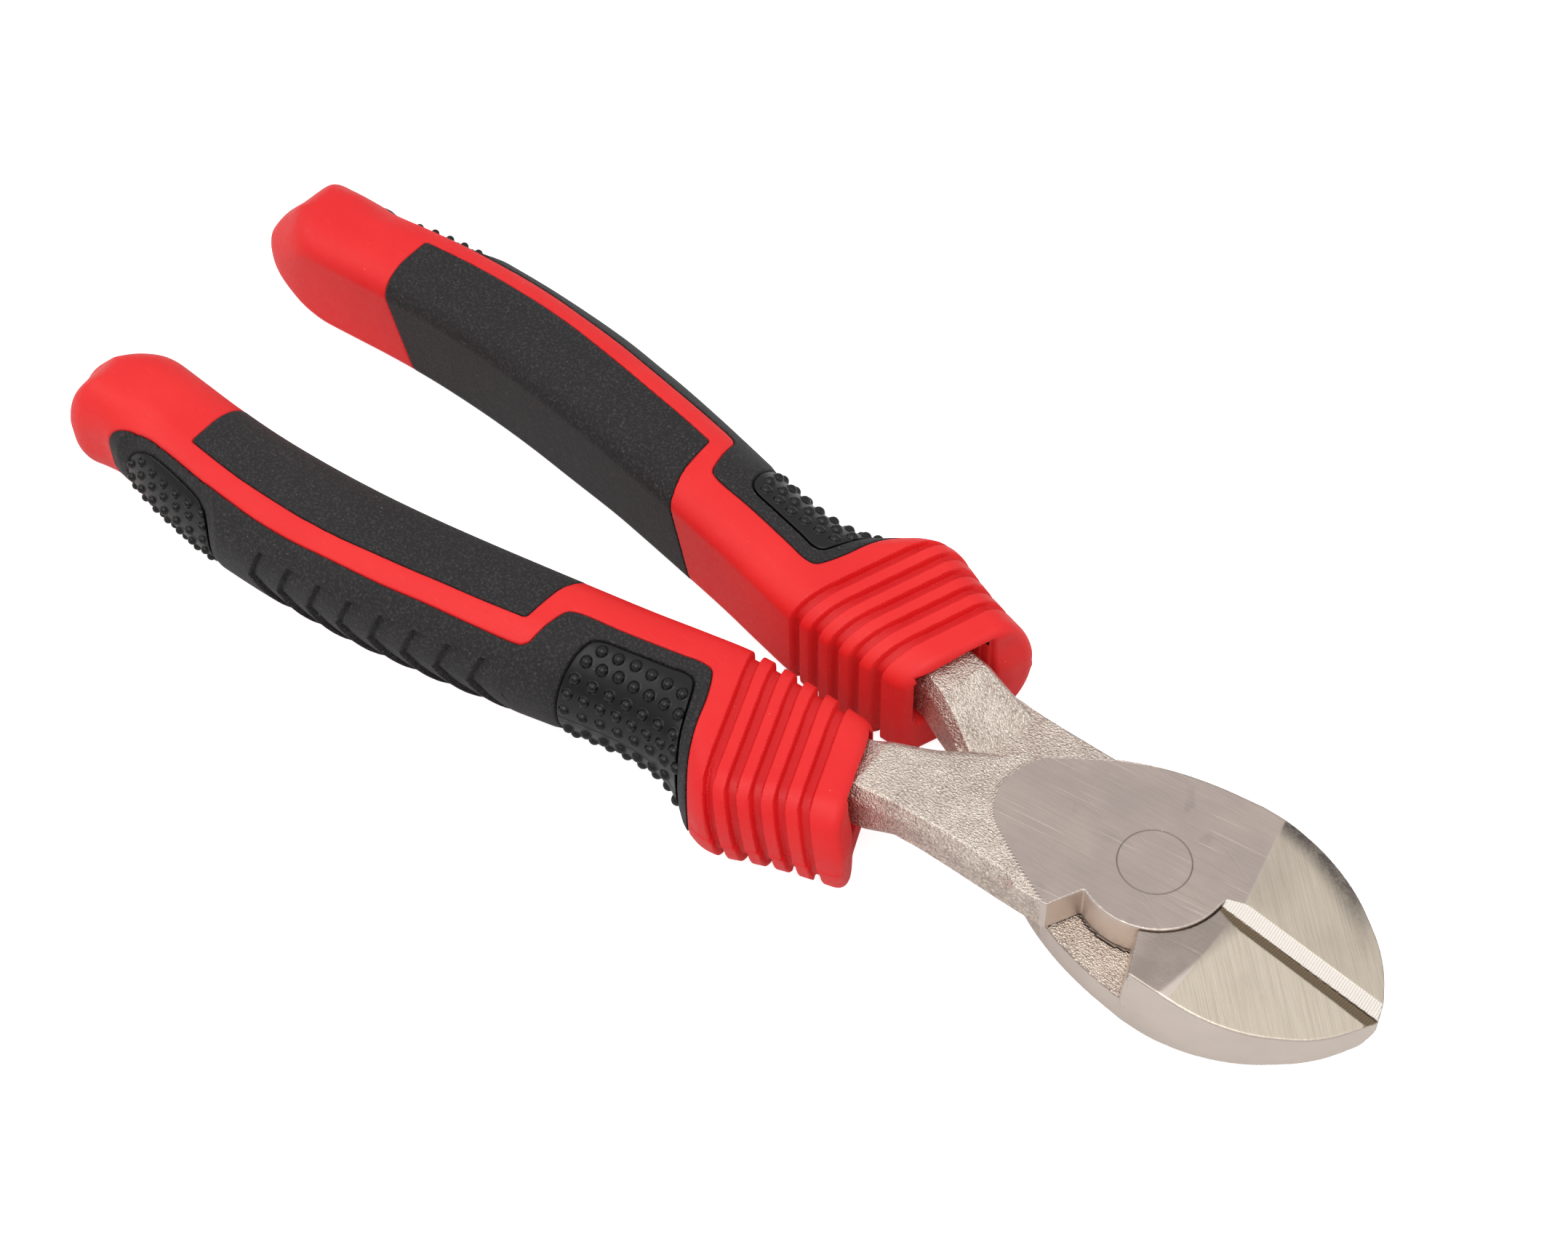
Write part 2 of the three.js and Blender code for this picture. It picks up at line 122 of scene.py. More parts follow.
class Outline:
    """Signed distance to a closed plan outline, tabled on a grid; rounding eases its corners."""

    def __init__(self, points, rounding=0.0, step=0.2, pad=7.0):
        p = np.array(points, float)
        low, high = p.min(0) - pad, p.max(0) + pad
        self.low, self.step = low, step
        self.count = np.ceil((high - low) / step).astype(int) + 1
        x = low[0] + np.arange(self.count[0]) * step
        y = low[1] + np.arange(self.count[1]) * step
        table = self.exact(p, x[:, None], y[None, :])
        if rounding:
            k = max(1, int(rounding / step))
            for _ in range(2):      # two box filters along each axis
                for axis in (0, 1):
                    table = (sum(np.roll(table, s, axis) for s in range(-k, k + 1))
                             / (2 * k + 1))
        self.table = table.astype(np.float32)

    @staticmethod
    def exact(points, x, y):
        x, y = np.broadcast_arrays(x, y)
        best = np.full(x.shape, 1e12)
        inside = np.zeros(x.shape, bool)
        for (ax, ay), (bx, by) in zip(points, np.roll(points, -1, 0)):
            ex, ey = bx - ax, by - ay
            length2 = ex * ex + ey * ey
            if length2 < 1e-12:
                continue
            wx, wy = x - ax, y - ay
            t = np.clip((wx * ex + wy * ey) / length2, 0, 1)
            dx, dy = wx - t * ex, wy - t * ey
            best = np.minimum(best, dx * dx + dy * dy)
            if ay != by:
                inside ^= ((y >= min(ay, by)) & (y < max(ay, by))
                           & (x < ax + (y - ay) / (by - ay) * ex))
        distance = np.sqrt(best)
        return np.where(inside, -distance, distance)

    def __call__(self, x, y):
        u = np.clip((x - self.low[0]) / self.step, 0, self.count[0] - 1.001)
        v = np.clip((y - self.low[1]) / self.step, 0, self.count[1] - 1.001)
        u, v = np.broadcast_arrays(u, v)
        i, j = u.astype(np.int32), v.astype(np.int32)
        fu, fv = (u - i).astype(np.float32), (v - j).astype(np.float32)
        t = self.table
        return ((t[i, j] * (1 - fu) + t[i + 1, j] * fu) * (1 - fv)
                + (t[i, j + 1] * (1 - fu) + t[i + 1, j + 1] * fu) * fv)


def lattice_random(i, j, k, seed):
    h = (i.astype(np.int64) * 374761393 + j.astype(np.int64) * 668265263
         + k.astype(np.int64) * 2147483647 + seed * 1274126177) & 0xFFFFFFFF
    h = ((h ^ (h >> 13)) * 1274126177) & 0xFFFFFFFF
    h = ((h ^ (h >> 16)) * 2246822519) & 0xFFFFFFFF
    return ((h ^ (h >> 15)) & 0xFFFFFF) / float(0xFFFFFF)


def value_noise(points, size, seed):
    """Noise from -1 to 1 with lumps of the given size."""
    q = points / np.asarray(size, float)
    base = np.floor(q).astype(np.int64)
    f = q - base
    f = f * f * (3 - 2 * f)
    total = 0.0
    for i, j, k in product((0, 1), repeat=3):
        weight = ((f[:, 0] if i else 1 - f[:, 0]) * (f[:, 1] if j else 1 - f[:, 1])
                  * (f[:, 2] if k else 1 - f[:, 2]))
        total = total + weight * lattice_random(
            base[:, 0] + i, base[:, 1] + j, base[:, 2] + k, seed)
    return total * 2 - 1


# ---------------------------------------------------------------- meshing
def span(low, high, step):
    return np.arange(low, high + step, step)


def surface_nets(field, xs, ys, zs, rounds=3):
    """Closed quad mesh of field = 0: one vertex per crossed cell, pulled on to the surface."""
    axes = (xs, ys, zs)
    shape = tuple(len(line) for line in axes)
    grid = field(xs[:, None, None].astype(np.float32), ys[None, :, None].astype(np.float32),
                 zs[None, None, :].astype(np.float32))
    values = np.array(np.broadcast_to(grid, shape), np.float32)
    values[[0, -1]] = 1
    values[:, [0, -1]] = 1
    values[:, :, [0, -1]] = 1
    inside = values < 0
    stride = np.array([shape[1] * shape[2], shape[2], 1])
    ids, places, quads = [], [], []
    for axis in range(3):
        here, there = [slice(None)] * 3, [slice(None)] * 3
        here[axis], there[axis] = slice(0, -1), slice(1, None)
        cross = np.argwhere(inside[tuple(here)] != inside[tuple(there)])
        after = cross.copy()
        after[:, axis] += 1
        f0, f1 = values[tuple(cross.T)], values[tuple(after.T)]
        t = (f0 / (f0 - f1)).astype(float)
        place = np.stack([axes[k][cross[:, k]] for k in range(3)], 1).astype(float)
        place[:, axis] += t * (axes[axis][after[:, axis]] - axes[axis][cross[:, axis]])
        u, v = (axis + 1) % 3, (axis + 2) % 3
        ring = []
        for du, dv in ((-1, -1), (0, -1), (0, 0), (-1, 0)):     # cells round the crossed edge
            cell = cross.copy()
            cell[:, u] += du
            cell[:, v] += dv
            ring.append(cell @ stride)
            places.append(place)
        ids += ring
        quad = np.stack(ring, 1)
        flip = f0 > 0
        quad[flip] = quad[flip][:, ::-1]
        quads.append(quad)
    ids, places, quads = np.concatenate(ids), np.concatenate(places), np.concatenate(quads)
    cells, inverse = np.unique(ids, return_inverse=True)
    n = len(cells)
    hits = np.bincount(inverse, minlength=n)
    points = np.stack([np.bincount(inverse, places[:, k], minlength=n) / hits
                       for k in range(3)], 1)
    quads = np.searchsorted(cells, quads)

    def differences(reach):
        return np.stack([field(*(points + e).T) - field(*(points - e).T)
                         for e in np.eye(3) * reach], 1)

    reach = 0.04
    cap = 0.45 * (ys[1] - ys[0])    # longest move in a round
    for _ in range(rounds):
        value = field(*points.T)
        slope = differences(reach) / (2 * reach)
        move = -(value / np.maximum((slope * slope).sum(1), 0.05))[:, None] * slope
        length = np.linalg.norm(move, axis=1)
        move *= (np.minimum(length, cap) / np.maximum(length, 1e-9))[:, None]
        points = points + move
    slope = differences(0.06)
    return points, quads, slope / np.maximum(np.linalg.norm(slope, axis=1), 1e-9)[:, None]


def make_mesh(name, points, quads, normals, masks):
    mesh = bpy.data.meshes.new(name)
    count = len(quads)
    mesh.vertices.add(len(points))
    mesh.vertices.foreach_set("co", (points * MM).astype(np.float32).ravel())
    mesh.loops.add(4 * count)
    mesh.loops.foreach_set("vertex_index", quads.astype(np.int32).ravel())
    mesh.polygons.add(count)
    mesh.polygons.foreach_set("loop_start", (np.arange(count) * 4).astype(np.int32))
    mesh.polygons.foreach_set("use_smooth", np.ones(count, bool))
    mesh.update(calc_edges=True)
    mesh.normals_split_custom_set_from_vertices(normals.astype(np.float32))
    for key, weight in masks.items():
        attribute = mesh.attributes.new(key, "FLOAT", "POINT")
        attribute.data.foreach_set("value", weight.astype(np.float32))
    return mesh


def add_piece(name, shape, material, half, node, masks):
    mesh = make_mesh(name, *shape, masks)
    piece = bpy.data.objects.new(name, mesh)
    bpy.context.scene.collection.objects.link(piece)
    mesh.materials.append(material)
    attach(piece, half)
    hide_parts(node)


# ---------------------------------------------------------------- sleeve body
# Outlines are (x, y) points. "In" is the side near the middle plane, "out" the far side.
SLEEVE = Outline(curve([
    [-22, 4.6], [-30, 4.2], [-40.3, 3.5], [-50, 3.2], [-60, 3.6], [-67, 4.9], [-75, 6.6],
    [-85, 8.4], [-92, 9.6], [-100, 10.9], [-109, 12.2], [-118, 13.2], [-127, 13.8],
    [-137, 14.0], [-145, 13.7], [-152, 13.2], [-158.0, 12.8], [-163.0, 12.8],
    [-167.8, 14.1], [-170.9, 16.8], [-171.3, 19.4], [-170.0, 22.1], [-168.9, 24.4],
    [-167.8, 26.5], [-166.3, 27.9], [-164.2, 28.5], [-161.7, 28.2], [-159, 28.0],
    [-156.9, 28.4], [-153.4, 29.5], [-150.5, 30.3], [-147, 31.0], [-141, 31.6],
    [-133, 31.8], [-124, 31.7], [-111, 30.8], [-103, 29.6], [-98.6, 28.9], [-90, 27.2],
    [-78, 24.5], [-72.8, 23.4], [-68, 22.7], [-64, 22.6], [-60.5, 23.3], [-57.5, 24.7],
    [-54.5, 26.5], [-51.5, 27.5], [-48.5, 27.2], [-45, 25.7], [-41, 24.1], [-37, 22.8],
    [-33, 21.6], [-28, 19.5], [-22, 16.5]], 6), rounding=0.3)
# Line along the middle of the sleeve: y at each x
MIDDLE_X = [-170, -150, -130, -110, -90, -70, -60, -50, -40]
MIDDLE_Y = [21, 21.5, 22.8, 21.6, 18.4, 14, 13.3, 15, 13]


def body(x, y, z):
    """The plain sleeve: its plan raised between two flats, with rolled edges."""
    # the butt end leans forward towards its top inner corner
    tip = 3.3 * fall(y, 27, 11) * rise(z, 1.5, 9.5) * fall(x, -155, 12)
    plan = SLEEVE(x - tip, y)
    side = rise(y - np.interp(x, MIDDLE_X, MIDDLE_Y), -3, 6)    # 1 on the outer side
    rear = fall(x, -152, 8)
    butt = fall(x, -157, 11)
    guard = rise(x, -62, 8)
    up = rise(z - MID_Z, -2, 4)
    # an edge rolls over an ellipse: wide is its reach in plan, tall its reach in height;
    # at the lower inner edge the roll gets smaller towards the butt
    back = (1 - up) * fall(x, -95, 15)
    wide_in, tall_in = 4.2 + 1.9 * up - 0.8 * back, 3.6 + 0.3 * up - 1.0 * back
    wide_out, tall_out = 8.4 - 2.8 * guard, 8.9 - 1.0 * guard
    wide = wide_in + (wide_out - wide_in) * side
    tall = tall_in + (tall_out - tall_in) * side
    wide = wide + (5.0 - wide) * rear * side
    tall = tall + (6.6 - tall) * rear * side
    wide = wide + (5.6 + 1.2 * up - wide) * butt
    tall = tall + (7.0 + 2.0 * up - tall) * butt
    low_in = (1 - up) * (1 - side) * guard
    low_out = (1 - up) * side * (rise(x, -57, 9) + fall(x, -138, 8) * (1 - butt))
    wide = wide - 2.1 * low_in + 1.9 * low_out
    tall = tall - 1.8 * low_in + 1.3 * low_out
    # the upper flat sags a little towards the butt end
    rim = np.abs(z - MID_Z)
    half = HALF_Z - 0.9 * up * fall(x, -159, 11)
    across = np.maximum(plan + wide, 0)
    above = np.maximum(rim - half + tall, 0)
    k0 = np.sqrt((across / wide) ** 2 + (above / tall) ** 2)
    k1 = np.sqrt((across / (wide * wide)) ** 2 + (above / (tall * tall)) ** 2)
    f = k0 * (k0 - 1) / np.maximum(k1, 1e-5)
    f = np.where((across <= 0) & (above <= 0), np.maximum(plan, rim - half), f)
    # slanting front face with an eased edge
    low_front = 1.0 * fall(z, 10, 6) * rise(z, -6.5, 4) * rise(y, 13, 5)
    return soft_max(f, (x + 40.2 - 0.406 * (y - 4.86) - low_front) * 0.927, 1.7)


def mould_line(y, z, half_width):
    return np.maximum(0, 1 - np.abs(z - MOULD_Z) / half_width) * rise(y, 19, 3)


def groove_place(x, y, z):
    """x moved back by the lean of the guard grooves: over the flats and down the outer side."""
    low = fall(z, MOULD_Z, 0.4) * rise(y, 18, 3)    # a small shift below the mould line
    y = np.clip(y, 3, 27)
    down = 2.5 * (1 - np.exp(-np.maximum(0, 11 - z) / 6)) * rise(y, 17, 4)
    return x - (0.385 * (y - 4) + down) - 0.30 * low


def groove_shade_mask(x, y, z):
    """1 on the floor of a guard groove, 0 on the ribs; the red material paints shade there."""
    gaps = np.abs(groove_place(x, y, z)[:, None] - np.array(GROOVE_X)).min(1) * GROOVE_SLOPE
    return fall(gaps, GROOVE_HALF, 0.4) * (body(x, y, z) > -1.35)


def grooved(x, y, z):
    """The sleeve with square shouldered grooves and the mould line round the ribs."""
    place = groove_place(x, y, z)
    cut = sum(fall(np.abs(place - centre) * GROOVE_SLOPE, GROOVE_HALF, 0.32)
              for centre in GROOVE_X)
    depth = (0.88 + 0.24 * rise(y, 8, 4)) * (1 - 0.2 * rise(x, -42, 3))
    return body(x, y, z) + depth * cut - 0.12 * (mould_line(y, z, 0.28) * rise(x, -60, 3))


# ---------------------------------------------------------------- sleeve parts
INNER = Outline(np.vstack([
    curve([[-143.9, 23.8], [-138, 24.35], [-133, 24.65], [-127, 24.7], [-122.5, 24.6],
           [-116, 24.1], [-111, 23.4], [-105, 22.5], [-100, 21.65], [-93, 20.5],
           [-87.1, 19.35]], 4),
    [[-86.9, 18.9], [-86.6, 13.4], [-86.2, 10], [-86.0, -6]],
    [[-144.6, -6], [-144.6, 12], [-144.2, 17], [-144.1, 23.6]]]), rounding=0.2, step=0.15)
OUTER = Outline(np.vstack([
    curve([[-158.9, 44], [-158.9, 31.5], [-158.5, 29.4], [-157.4, 27.9], [-154.6, 26.8],
           [-150.5, 26.35], [-147, 26.6], [-142.2, 27.1], [-139, 27.45], [-133.5, 27.8],
           [-128, 28], [-122, 27.8], [-117, 27.3], [-108, 26.3], [-100, 25.0],
           [-93, 23.9], [-86.7, 22.8], [-85.2, 22.4]], 5),
    [[-84.4, 21.6], [-83.8, 18.0], [-83.4, 15.9]],
    curve([[-82.9, 15.1], [-81.4, 14.5], [-75, 13.4], [-67, 11.7], [-63.6, 10.95],
           [-62.0, 11.1], [-61.1, 12.2], [-59.5, 15.4], [-58.0, 19.6], [-56.3, 23.1],
           [-54.6, 25.6], [-53.2, 27.6], [-52.4, 30], [-52.2, 44]], 5)]),
    rounding=0.2, step=0.15)
FRONT = Outline(curve([
    [-78.4, 44], [-78.3, 22], [-78.1, 18.9], [-77.5, 17.0], [-76.2, 16.1], [-72.3, 15.2],
    [-66.7, 14.0], [-64.2, 13.4], [-62.9, 13.6], [-62.0, 14.8], [-60.9, 17.4],
    [-59.5, 20.9], [-58.1, 23.3], [-56.9, 25.2], [-56.3, 28], [-56.2, 44]], 5),
    rounding=0.3, step=0.15)
REAR = Outline(curve([
    [-154.6, 44], [-154.5, 31.5], [-154.0, 28.9], [-152.6, 27.8], [-151.0, 27.5],
    [-149.2, 27.4], [-145.4, 27.8], [-141.1, 28.4], [-138.2, 29.0], [-136.4, 30.0],
    [-135.3, 31.3], [-134.7, 33], [-134.6, 44]], 5), rounding=0.3, step=0.15)
# The hollow that holds the tang
CHANNEL = Outline([
    [-28, 3.0], [-40.6, 4.6], [-50, 6.2], [-61, 8.4], [-75, 10.9], [-87, 12.9],
    [-100, 14.8], [-115, 16.4], [-130, 17.4], [-140, 18.0], [-141.3, 20.4], [-140, 24.0],
    [-130, 24.8], [-115, 24.5], [-100, 22.8], [-87, 20.7], [-75, 18.7], [-61, 17.0],
    [-50, 16.2], [-41, 15.6], [-28, 15.0]], step=0.3)


def inner_plan(x, y, z):
    """Outline of the inner inlay, which slants forward with depth."""
    return INNER(x - 0.26 * (SLEEVE_HIGH - z), y)


def chevrons(x, y, z):
    """Depth cut by the row of stepped arrow marks on the outer side."""
    wedge, line = 0.0, 0.0
    edge = (0.33 * np.maximum(0, z - CHEVRON_TIP_Z)
            + 0.76 * np.maximum(0, CHEVRON_TIP_Z - z))
    for i in range(CHEVRON_COUNT):
        ahead = x - edge - (CHEVRON_X + CHEVRON_PITCH * i)
        wedge = wedge + rise(ahead, -0.1, 0.2) * np.clip(1 - ahead / 4.9, 0, 1)
        line = line + fall(np.abs(ahead - 0.2), 0.36, 0.22)
    window = fall(z, 8.05, 0.22) * rise(z, -4.4, 0.6) * rise(y, 20, 2)
    fade = fall(x, -84.5, 6)
    depth = (0.60 + 0.20 * fall(z, 3.4, 0.8)) * fade
    return (np.minimum(wedge, 1.0) * depth + 0.22 * fade * np.minimum(line, 1.0)) * window


def mouth(x, y, z):
    """Opening in the front face round the shank: it flares in height and steps outward."""
    grow = np.clip((x + 43.6) / 6.2, 0, 1)
    low, high = 1.8 - 2.15 * grow, 9.6 + 1.70 * grow
    outer = 15.2
    for step_x in (-39.6, -38.0, -36.6):
        outer = outer + 0.25 * rise(x, step_x, 0.3)
    inner = 5.0 + 0.09 * (-40 - x)
    return np.maximum(np.maximum(inner - y, y - outer),
                      np.maximum(np.maximum(low - z, z - high), -44.2 - x))


def red_sleeve(x, y, z):
    f = grooved(x, y, z)
    skin = body(x, y, z)
    for plan in (inner_plan(x, y, z), OUTER(x, y)):
        seat = soft_max(plan - SEAT_GAP, -(skin + INLAY_DEPTH + SEAT_GAP), 0.2)
        f = soft_max(f, -seat, 0.22)
    hole = np.maximum(CHANNEL(x, y), np.maximum(1.95 - z, z - 9.45))
    f = soft_max(f, -hole, 0.25)
    return soft_max(f, -mouth(x, y, z), 0.45)


def inlay(face, plan, skin):
    return soft_max(soft_max(face, plan + 0.03, 0.22), -(skin + INLAY_DEPTH), 0.2)


def inner_inlay(x, y, z):
    skin = body(x, y, z)
    return inlay(skin - SKIN, inner_plan(x, y, z), skin)


def dish(z):
    """How far the rear pad lies below the sleeve's skin."""
    return 0.30 + 0.44 * rise(z, 0.5, 7)


def outer_inlay(x, y, z):
    skin = body(x, y, z)
    front, rear = FRONT(x, y), REAR(x, y)
    # the face dips softly towards both pads
    dip = FRONT_DROP * fall(front, 1.6, 1.4) + dish(z) * fall(rear, 1.7, 1.7)
    f = inlay(skin - SKIN + chevrons(x, y, z) + dip, OUTER(x, y), skin)
    seats = np.minimum(soft_max(front - 0.12, -(skin + PAD_DEPTH), 0.2),
                       soft_max(rear - 0.12, -(skin + PAD_DEPTH + REAR_EXTRA), 0.2))
    return soft_max(f, -seats, 0.3)


# ---------------------------------------------------------------- studs and pads
# Rows of studs: first x, pitch, count, then the arc distance from the sleeve's widest
# point, upwards negative, for the whole row or for each stud.
FRONT_ROWS = [
    (-75.35, 2.53, 6, -11.7),
    (-76.31, 2.47, 7, [-9.6, -9.4, -9.3, -9.1, -9.1, -9.1, -9.5]),
    (-76.6, 2.63, 7, [-6.9, -6.6, -6.5, -6.4, -6.3, -6.4, -6.9]),
    (-76.86, 2.44, 8, [-4.2, -4.1, -4, -4, -3.8, -3.9, -4.3, -5.0]),
    (-77.0, 2.66, 8, [-1.2, -1.1, -1.2, -1.2, -1.4, -1.7, -2.3, -3.5]),
    (-76.9, 2.72, 7, [3.4, 2.9, 2.7, 2.3, 2.1, 1.7, 0.4]),
    (-76.5, 2.6, 8, [5.6, 5.5, 5.3, 5.2, 5.0, 4.8, 4.4, 3.6]),
    (-76.6, 2.63, 7, 8.0), (-76.31, 2.47, 7, 10.6), (-75.35, 2.53, 6, 13.0)]
REAR_ROWS = [
    (-150.55, 2.67, 6, -4.8), (-152.9, 2.7, 7, -2.65), (-152.8, 2.7, 7, -0.1),
    (-152.8, 2.7, 7, 2.3), (-152.9, 2.7, 7, 4.7), (-150.55, 2.67, 6, 7.1)]


def section_rings(stations):
    """(y, z) points of the skin at each x, from the top round the outer side to the bottom."""
    stations = np.asarray(stations, float)
    angle = np.linspace(radians(100), radians(-100), 260)
    x = stations[:, None] + 0 * angle[None, :]
    centre = np.interp(stations, MIDDLE_X, MIDDLE_Y)[:, None] - 1.0
    low, high = np.zeros_like(x), np.full_like(x, 26.0)
    for _ in range(24):     # bisection along each ray
        middle = (low + high) / 2
        f = body(x, centre + middle * np.cos(angle), MID_Z + middle * np.sin(angle))
        high = np.where(f > 0, middle, high)
        low = np.where(f > 0, low, middle)
    radius = (low + high) / 2
    return np.stack([centre + radius * np.cos(angle), MID_Z + radius * np.sin(angle)], -1)


def stud_centres(rows):
    centres = []
    for first, pitch, count, arcs in rows:
        stations = [first + pitch * i for i in range(count)]
        for x, ring, arc in zip(stations, section_rings(stations),
                                np.broadcast_to(arcs, count)):
            steps = np.linalg.norm(np.diff(ring, axis=0), axis=1)
            along = np.concatenate([[0], np.cumsum(steps)])
            along = along - along[int(np.argmax(ring[:, 0]))]
            centres.append((x, np.interp(arc, along, ring[:, 0]),
                            np.interp(arc, along, ring[:, 1])))
    return np.array(centres)


@lru_cache(maxsize=None)
def normal_at(x, y, z):
    """Unit normal of the sleeve's skin."""
    def skin(point):
        return float(body(*point[:, None])[0])
    point = np.array([x, y, z])
    slope = np.array([skin(point + e) - skin(point - e) for e in np.eye(3) * 0.1])
    return slope / np.linalg.norm(slope)


def with_studs(surface, x, y, z, centres, radius, sink):
    """Joins ball studs on to a surface; without a sink they follow the dish."""
    nearest = np.full(np.broadcast_shapes(np.shape(x), np.shape(y), np.shape(z)), 9.0,
                      np.float32)
    reach = radius + 1.2
    for centre in centres:
        depth = sink if sink is not None else float(dish(centre[2])) + 0.06
        ball = centre - normal_at(*centre) * depth
        close = [np.abs(line - p) < reach for line, p in zip((x, y, z), ball)]
        if np.ndim(x) == 3:     # a grid, given as three crossing lines
            i, j, k = (np.where(hit.ravel())[0] for hit in close)
            near = np.ix_(i, j, k)
            dx, dy, dz = x[i] - ball[0], y[:, j] - ball[1], z[:, :, k] - ball[2]
        else:
            near = np.where(close[0] & close[1] & close[2])[0]
            dx, dy, dz = x[near] - ball[0], y[near] - ball[1], z[near] - ball[2]
        distance = np.sqrt(dx ** 2 + dy ** 2 + dz ** 2) - radius
        nearest[near] = np.minimum(nearest[near], distance)
    return soft_min(surface, nearest, 0.12)


def pad(plan, rows, radius, sink=None, drop=None):
    """Field of a studded pad; without a drop its face follows the dish."""
    centres = stud_centres(rows)

    def field(x, y, z):
        skin = body(x, y, z)
        seam = mould_line(y, z, 0.22)
        f = soft_max(skin + (drop or dish(z)) + SKIN - 0.07 * seam, plan(x, y) + 0.14, 0.3)
        f = with_studs(f, x, y, z, centres, radius, sink)
        extra = 0.0 if drop else REAR_EXTRA
        return soft_max(f, -(skin + PAD_DEPTH - 0.06 + extra), 0.12)
    return field


def sleeve_shapes():
    cell = SLEEVE_CELL
    red_x = np.concatenate([np.arange(-172.5, -64, cell * 1.25),
                            np.arange(-64, -30.5, cell * 0.85)])
    front = pad(FRONT, FRONT_ROWS, radius=0.86, sink=0.40, drop=FRONT_DROP)
    rear = pad(REAR, REAR_ROWS, radius=0.66)
    return {
        "red": surface_nets(red_sleeve, red_x, span(-0.5, 34.5, cell),
                            span(-7.6, 13.8, cell)),
        "inner": surface_nets(inner_inlay, span(-149, -77, cell * 1.1),
                              span(1.5, 26, cell), span(-7.6, 13.6, cell)),
        "outer": surface_nets(outer_inlay, span(-160, -49, cell * 0.85),
                              span(9.5, 34, cell * 0.9), span(-7.6, 13.6, cell * 0.9)),
        "front": surface_nets(front, span(-80, -54.5, cell * 0.68),
                              span(11, 30, cell * 0.68), span(-7.4, 13.6, cell * 0.68)),
        "rear": surface_nets(rear, span(-156.5, -132.5, cell * 0.62),
                             span(25, 34.5, cell * 0.62), span(-7.4, 13.6, cell * 0.62)),
    }


def mirrored(points, quads, normals):
    """A sleeve part on the -Y side, where it spreads slightly outward towards the butt."""
    flip = np.array([1, -1, 1.0])
    points = points * flip
    points[:, 1] -= 0.85 * fall(points[:, 0], -70, 80)
    return points, quads[:, ::-1], normals * flip


# ---------------------------------------------------------------- forging
# (x, y) lines round the upper half: jaw, lap and shank, tang, and back along the shank
JAW_SIDE = curve([
    [33, JAW_EDGE_Y], [32.7, 1.0], [32.2, 2.4], [31.2, 4.0], [29.5, 5.95], [27.4, 8.2],
    [25, 10.1], [22.5, 11.8], [19.7, 13.2], [16.7, 14.25], [13.4, 14.95], [9.6, 15.3],
    [6.3, 15.3]], 5)
LAP_SIDE = curve([
    [6.3, 15.3], [0, 14.4], [-5.5, 13], [-11.5, 10.5], [-16, 7.6], [-19.2, 5.4],
    [-21.5, 4.0], [-27, 1.0], [-31.5, -2.0], [-35.5, -4.0], [-40, -5.8]], 5)
TANG_IN = curve([
    [-40, -5.8], [-50, -7.2], [-61, -9.2], [-75, -11.7], [-87, -13.7], [-100, -15.6],
    [-115, -17.2], [-130, -18.2], [-139, -18.8]], 3)
TANG_OUT = curve([
    [-140, -20.4], [-139, -23.2], [-130, -24.0], [-115, -23.7], [-100, -22.0],
    [-87, -19.9], [-75, -17.9], [-61, -16.3], [-50, -15.5], [-42, -14.9]], 3)
SHANK_OUT = curve([
    [-42, -14.9], [-36.2, -14.5], [-31.5, -13.8], [-26.5, -13.5], [-20, -13.4],
    [-13, -13.5], [-7.09, -13.33]], 5)
TOP = Outline(np.vstack([
    JAW_SIDE, LAP_SIDE[1:], TANG_IN[1:], TANG_OUT, SHANK_OUT[1:-1], [polar(15.1, 242)],
    polar(9.9, np.linspace(242, 359.42, 40))]), step=0.12, pad=4)
JAW = Outline(np.vstack([
    JAW_SIDE, [polar(16.8, 67.5)], polar(10.2, np.linspace(67.5, 0.56, 24))]),
    step=0.12, pad=4)
# the shank alone starts seven spans along the lap side and stops a span short of its end
SHANK = Outline(np.vstack([LAP_SIDE[35:], TANG_IN[1:], TANG_OUT, SHANK_OUT[1:-5]]),
                step=0.15, pad=4)
# the raised flat face round the rivet, open towards the jaws
BOSS = Outline(np.vstack([
    curve([[-3, 18.5], [-14, 8.85], [-16, 7.5], [-19, 5.5], [-20.75, 3.25], [-21.75, 0],
           [-21.75, -3], [-21, -5], [-19.75, -6.75], [-16, -9.15], [-12, -11.25],
           [-8.5, -12.9], [0, -17.5]], 5), [[40, -18], [40, 20]]]), step=0.2, pad=5)


def facet_z(x, y):
    """Sloping upper face of the jaw."""
    return HEIGHT - 0.176 * (x - 12.8) - 0.035 * y


def bevel_z(x, y):
    """Cutting bevel of the jaw."""
    return HEIGHT - 0.42 - 0.18 * (x - 9.9) + 0.497 * y


def top_z(x, y):
    z = HEIGHT - 0.28 * rise(BOSS(x, y), -0.05, 0.5)
    return np.where(x > -37, z, np.maximum(11.12 - 0.325 * (-37 - x), 9.2))


def upper_layer(x, y, z, bulge):
    """Everything above the lap plane, with a chamfered outer and a softer inner shank edge."""
    plan, over = TOP(x, y), z - top_z(x, y)
    f = soft_max(plan - bulge, over, 0.25)
    outer = fall(y, -8.2, 2.0) * fall(x, -8, 6)
    f = soft_max(f, (plan + 1.25) * 0.857 + over * 0.515 - 4 * (1 - outer), 0.25)
    inner = ease((y + 7) / 2 + 0.4) * fall(x, -20, 5)
    f = soft_max(f, (plan + 0.7) * 0.707 + over * 0.707 - 4 * (1 - inner), 0.5)
    return soft_max(f, LAP_FACE - z, 0.18)


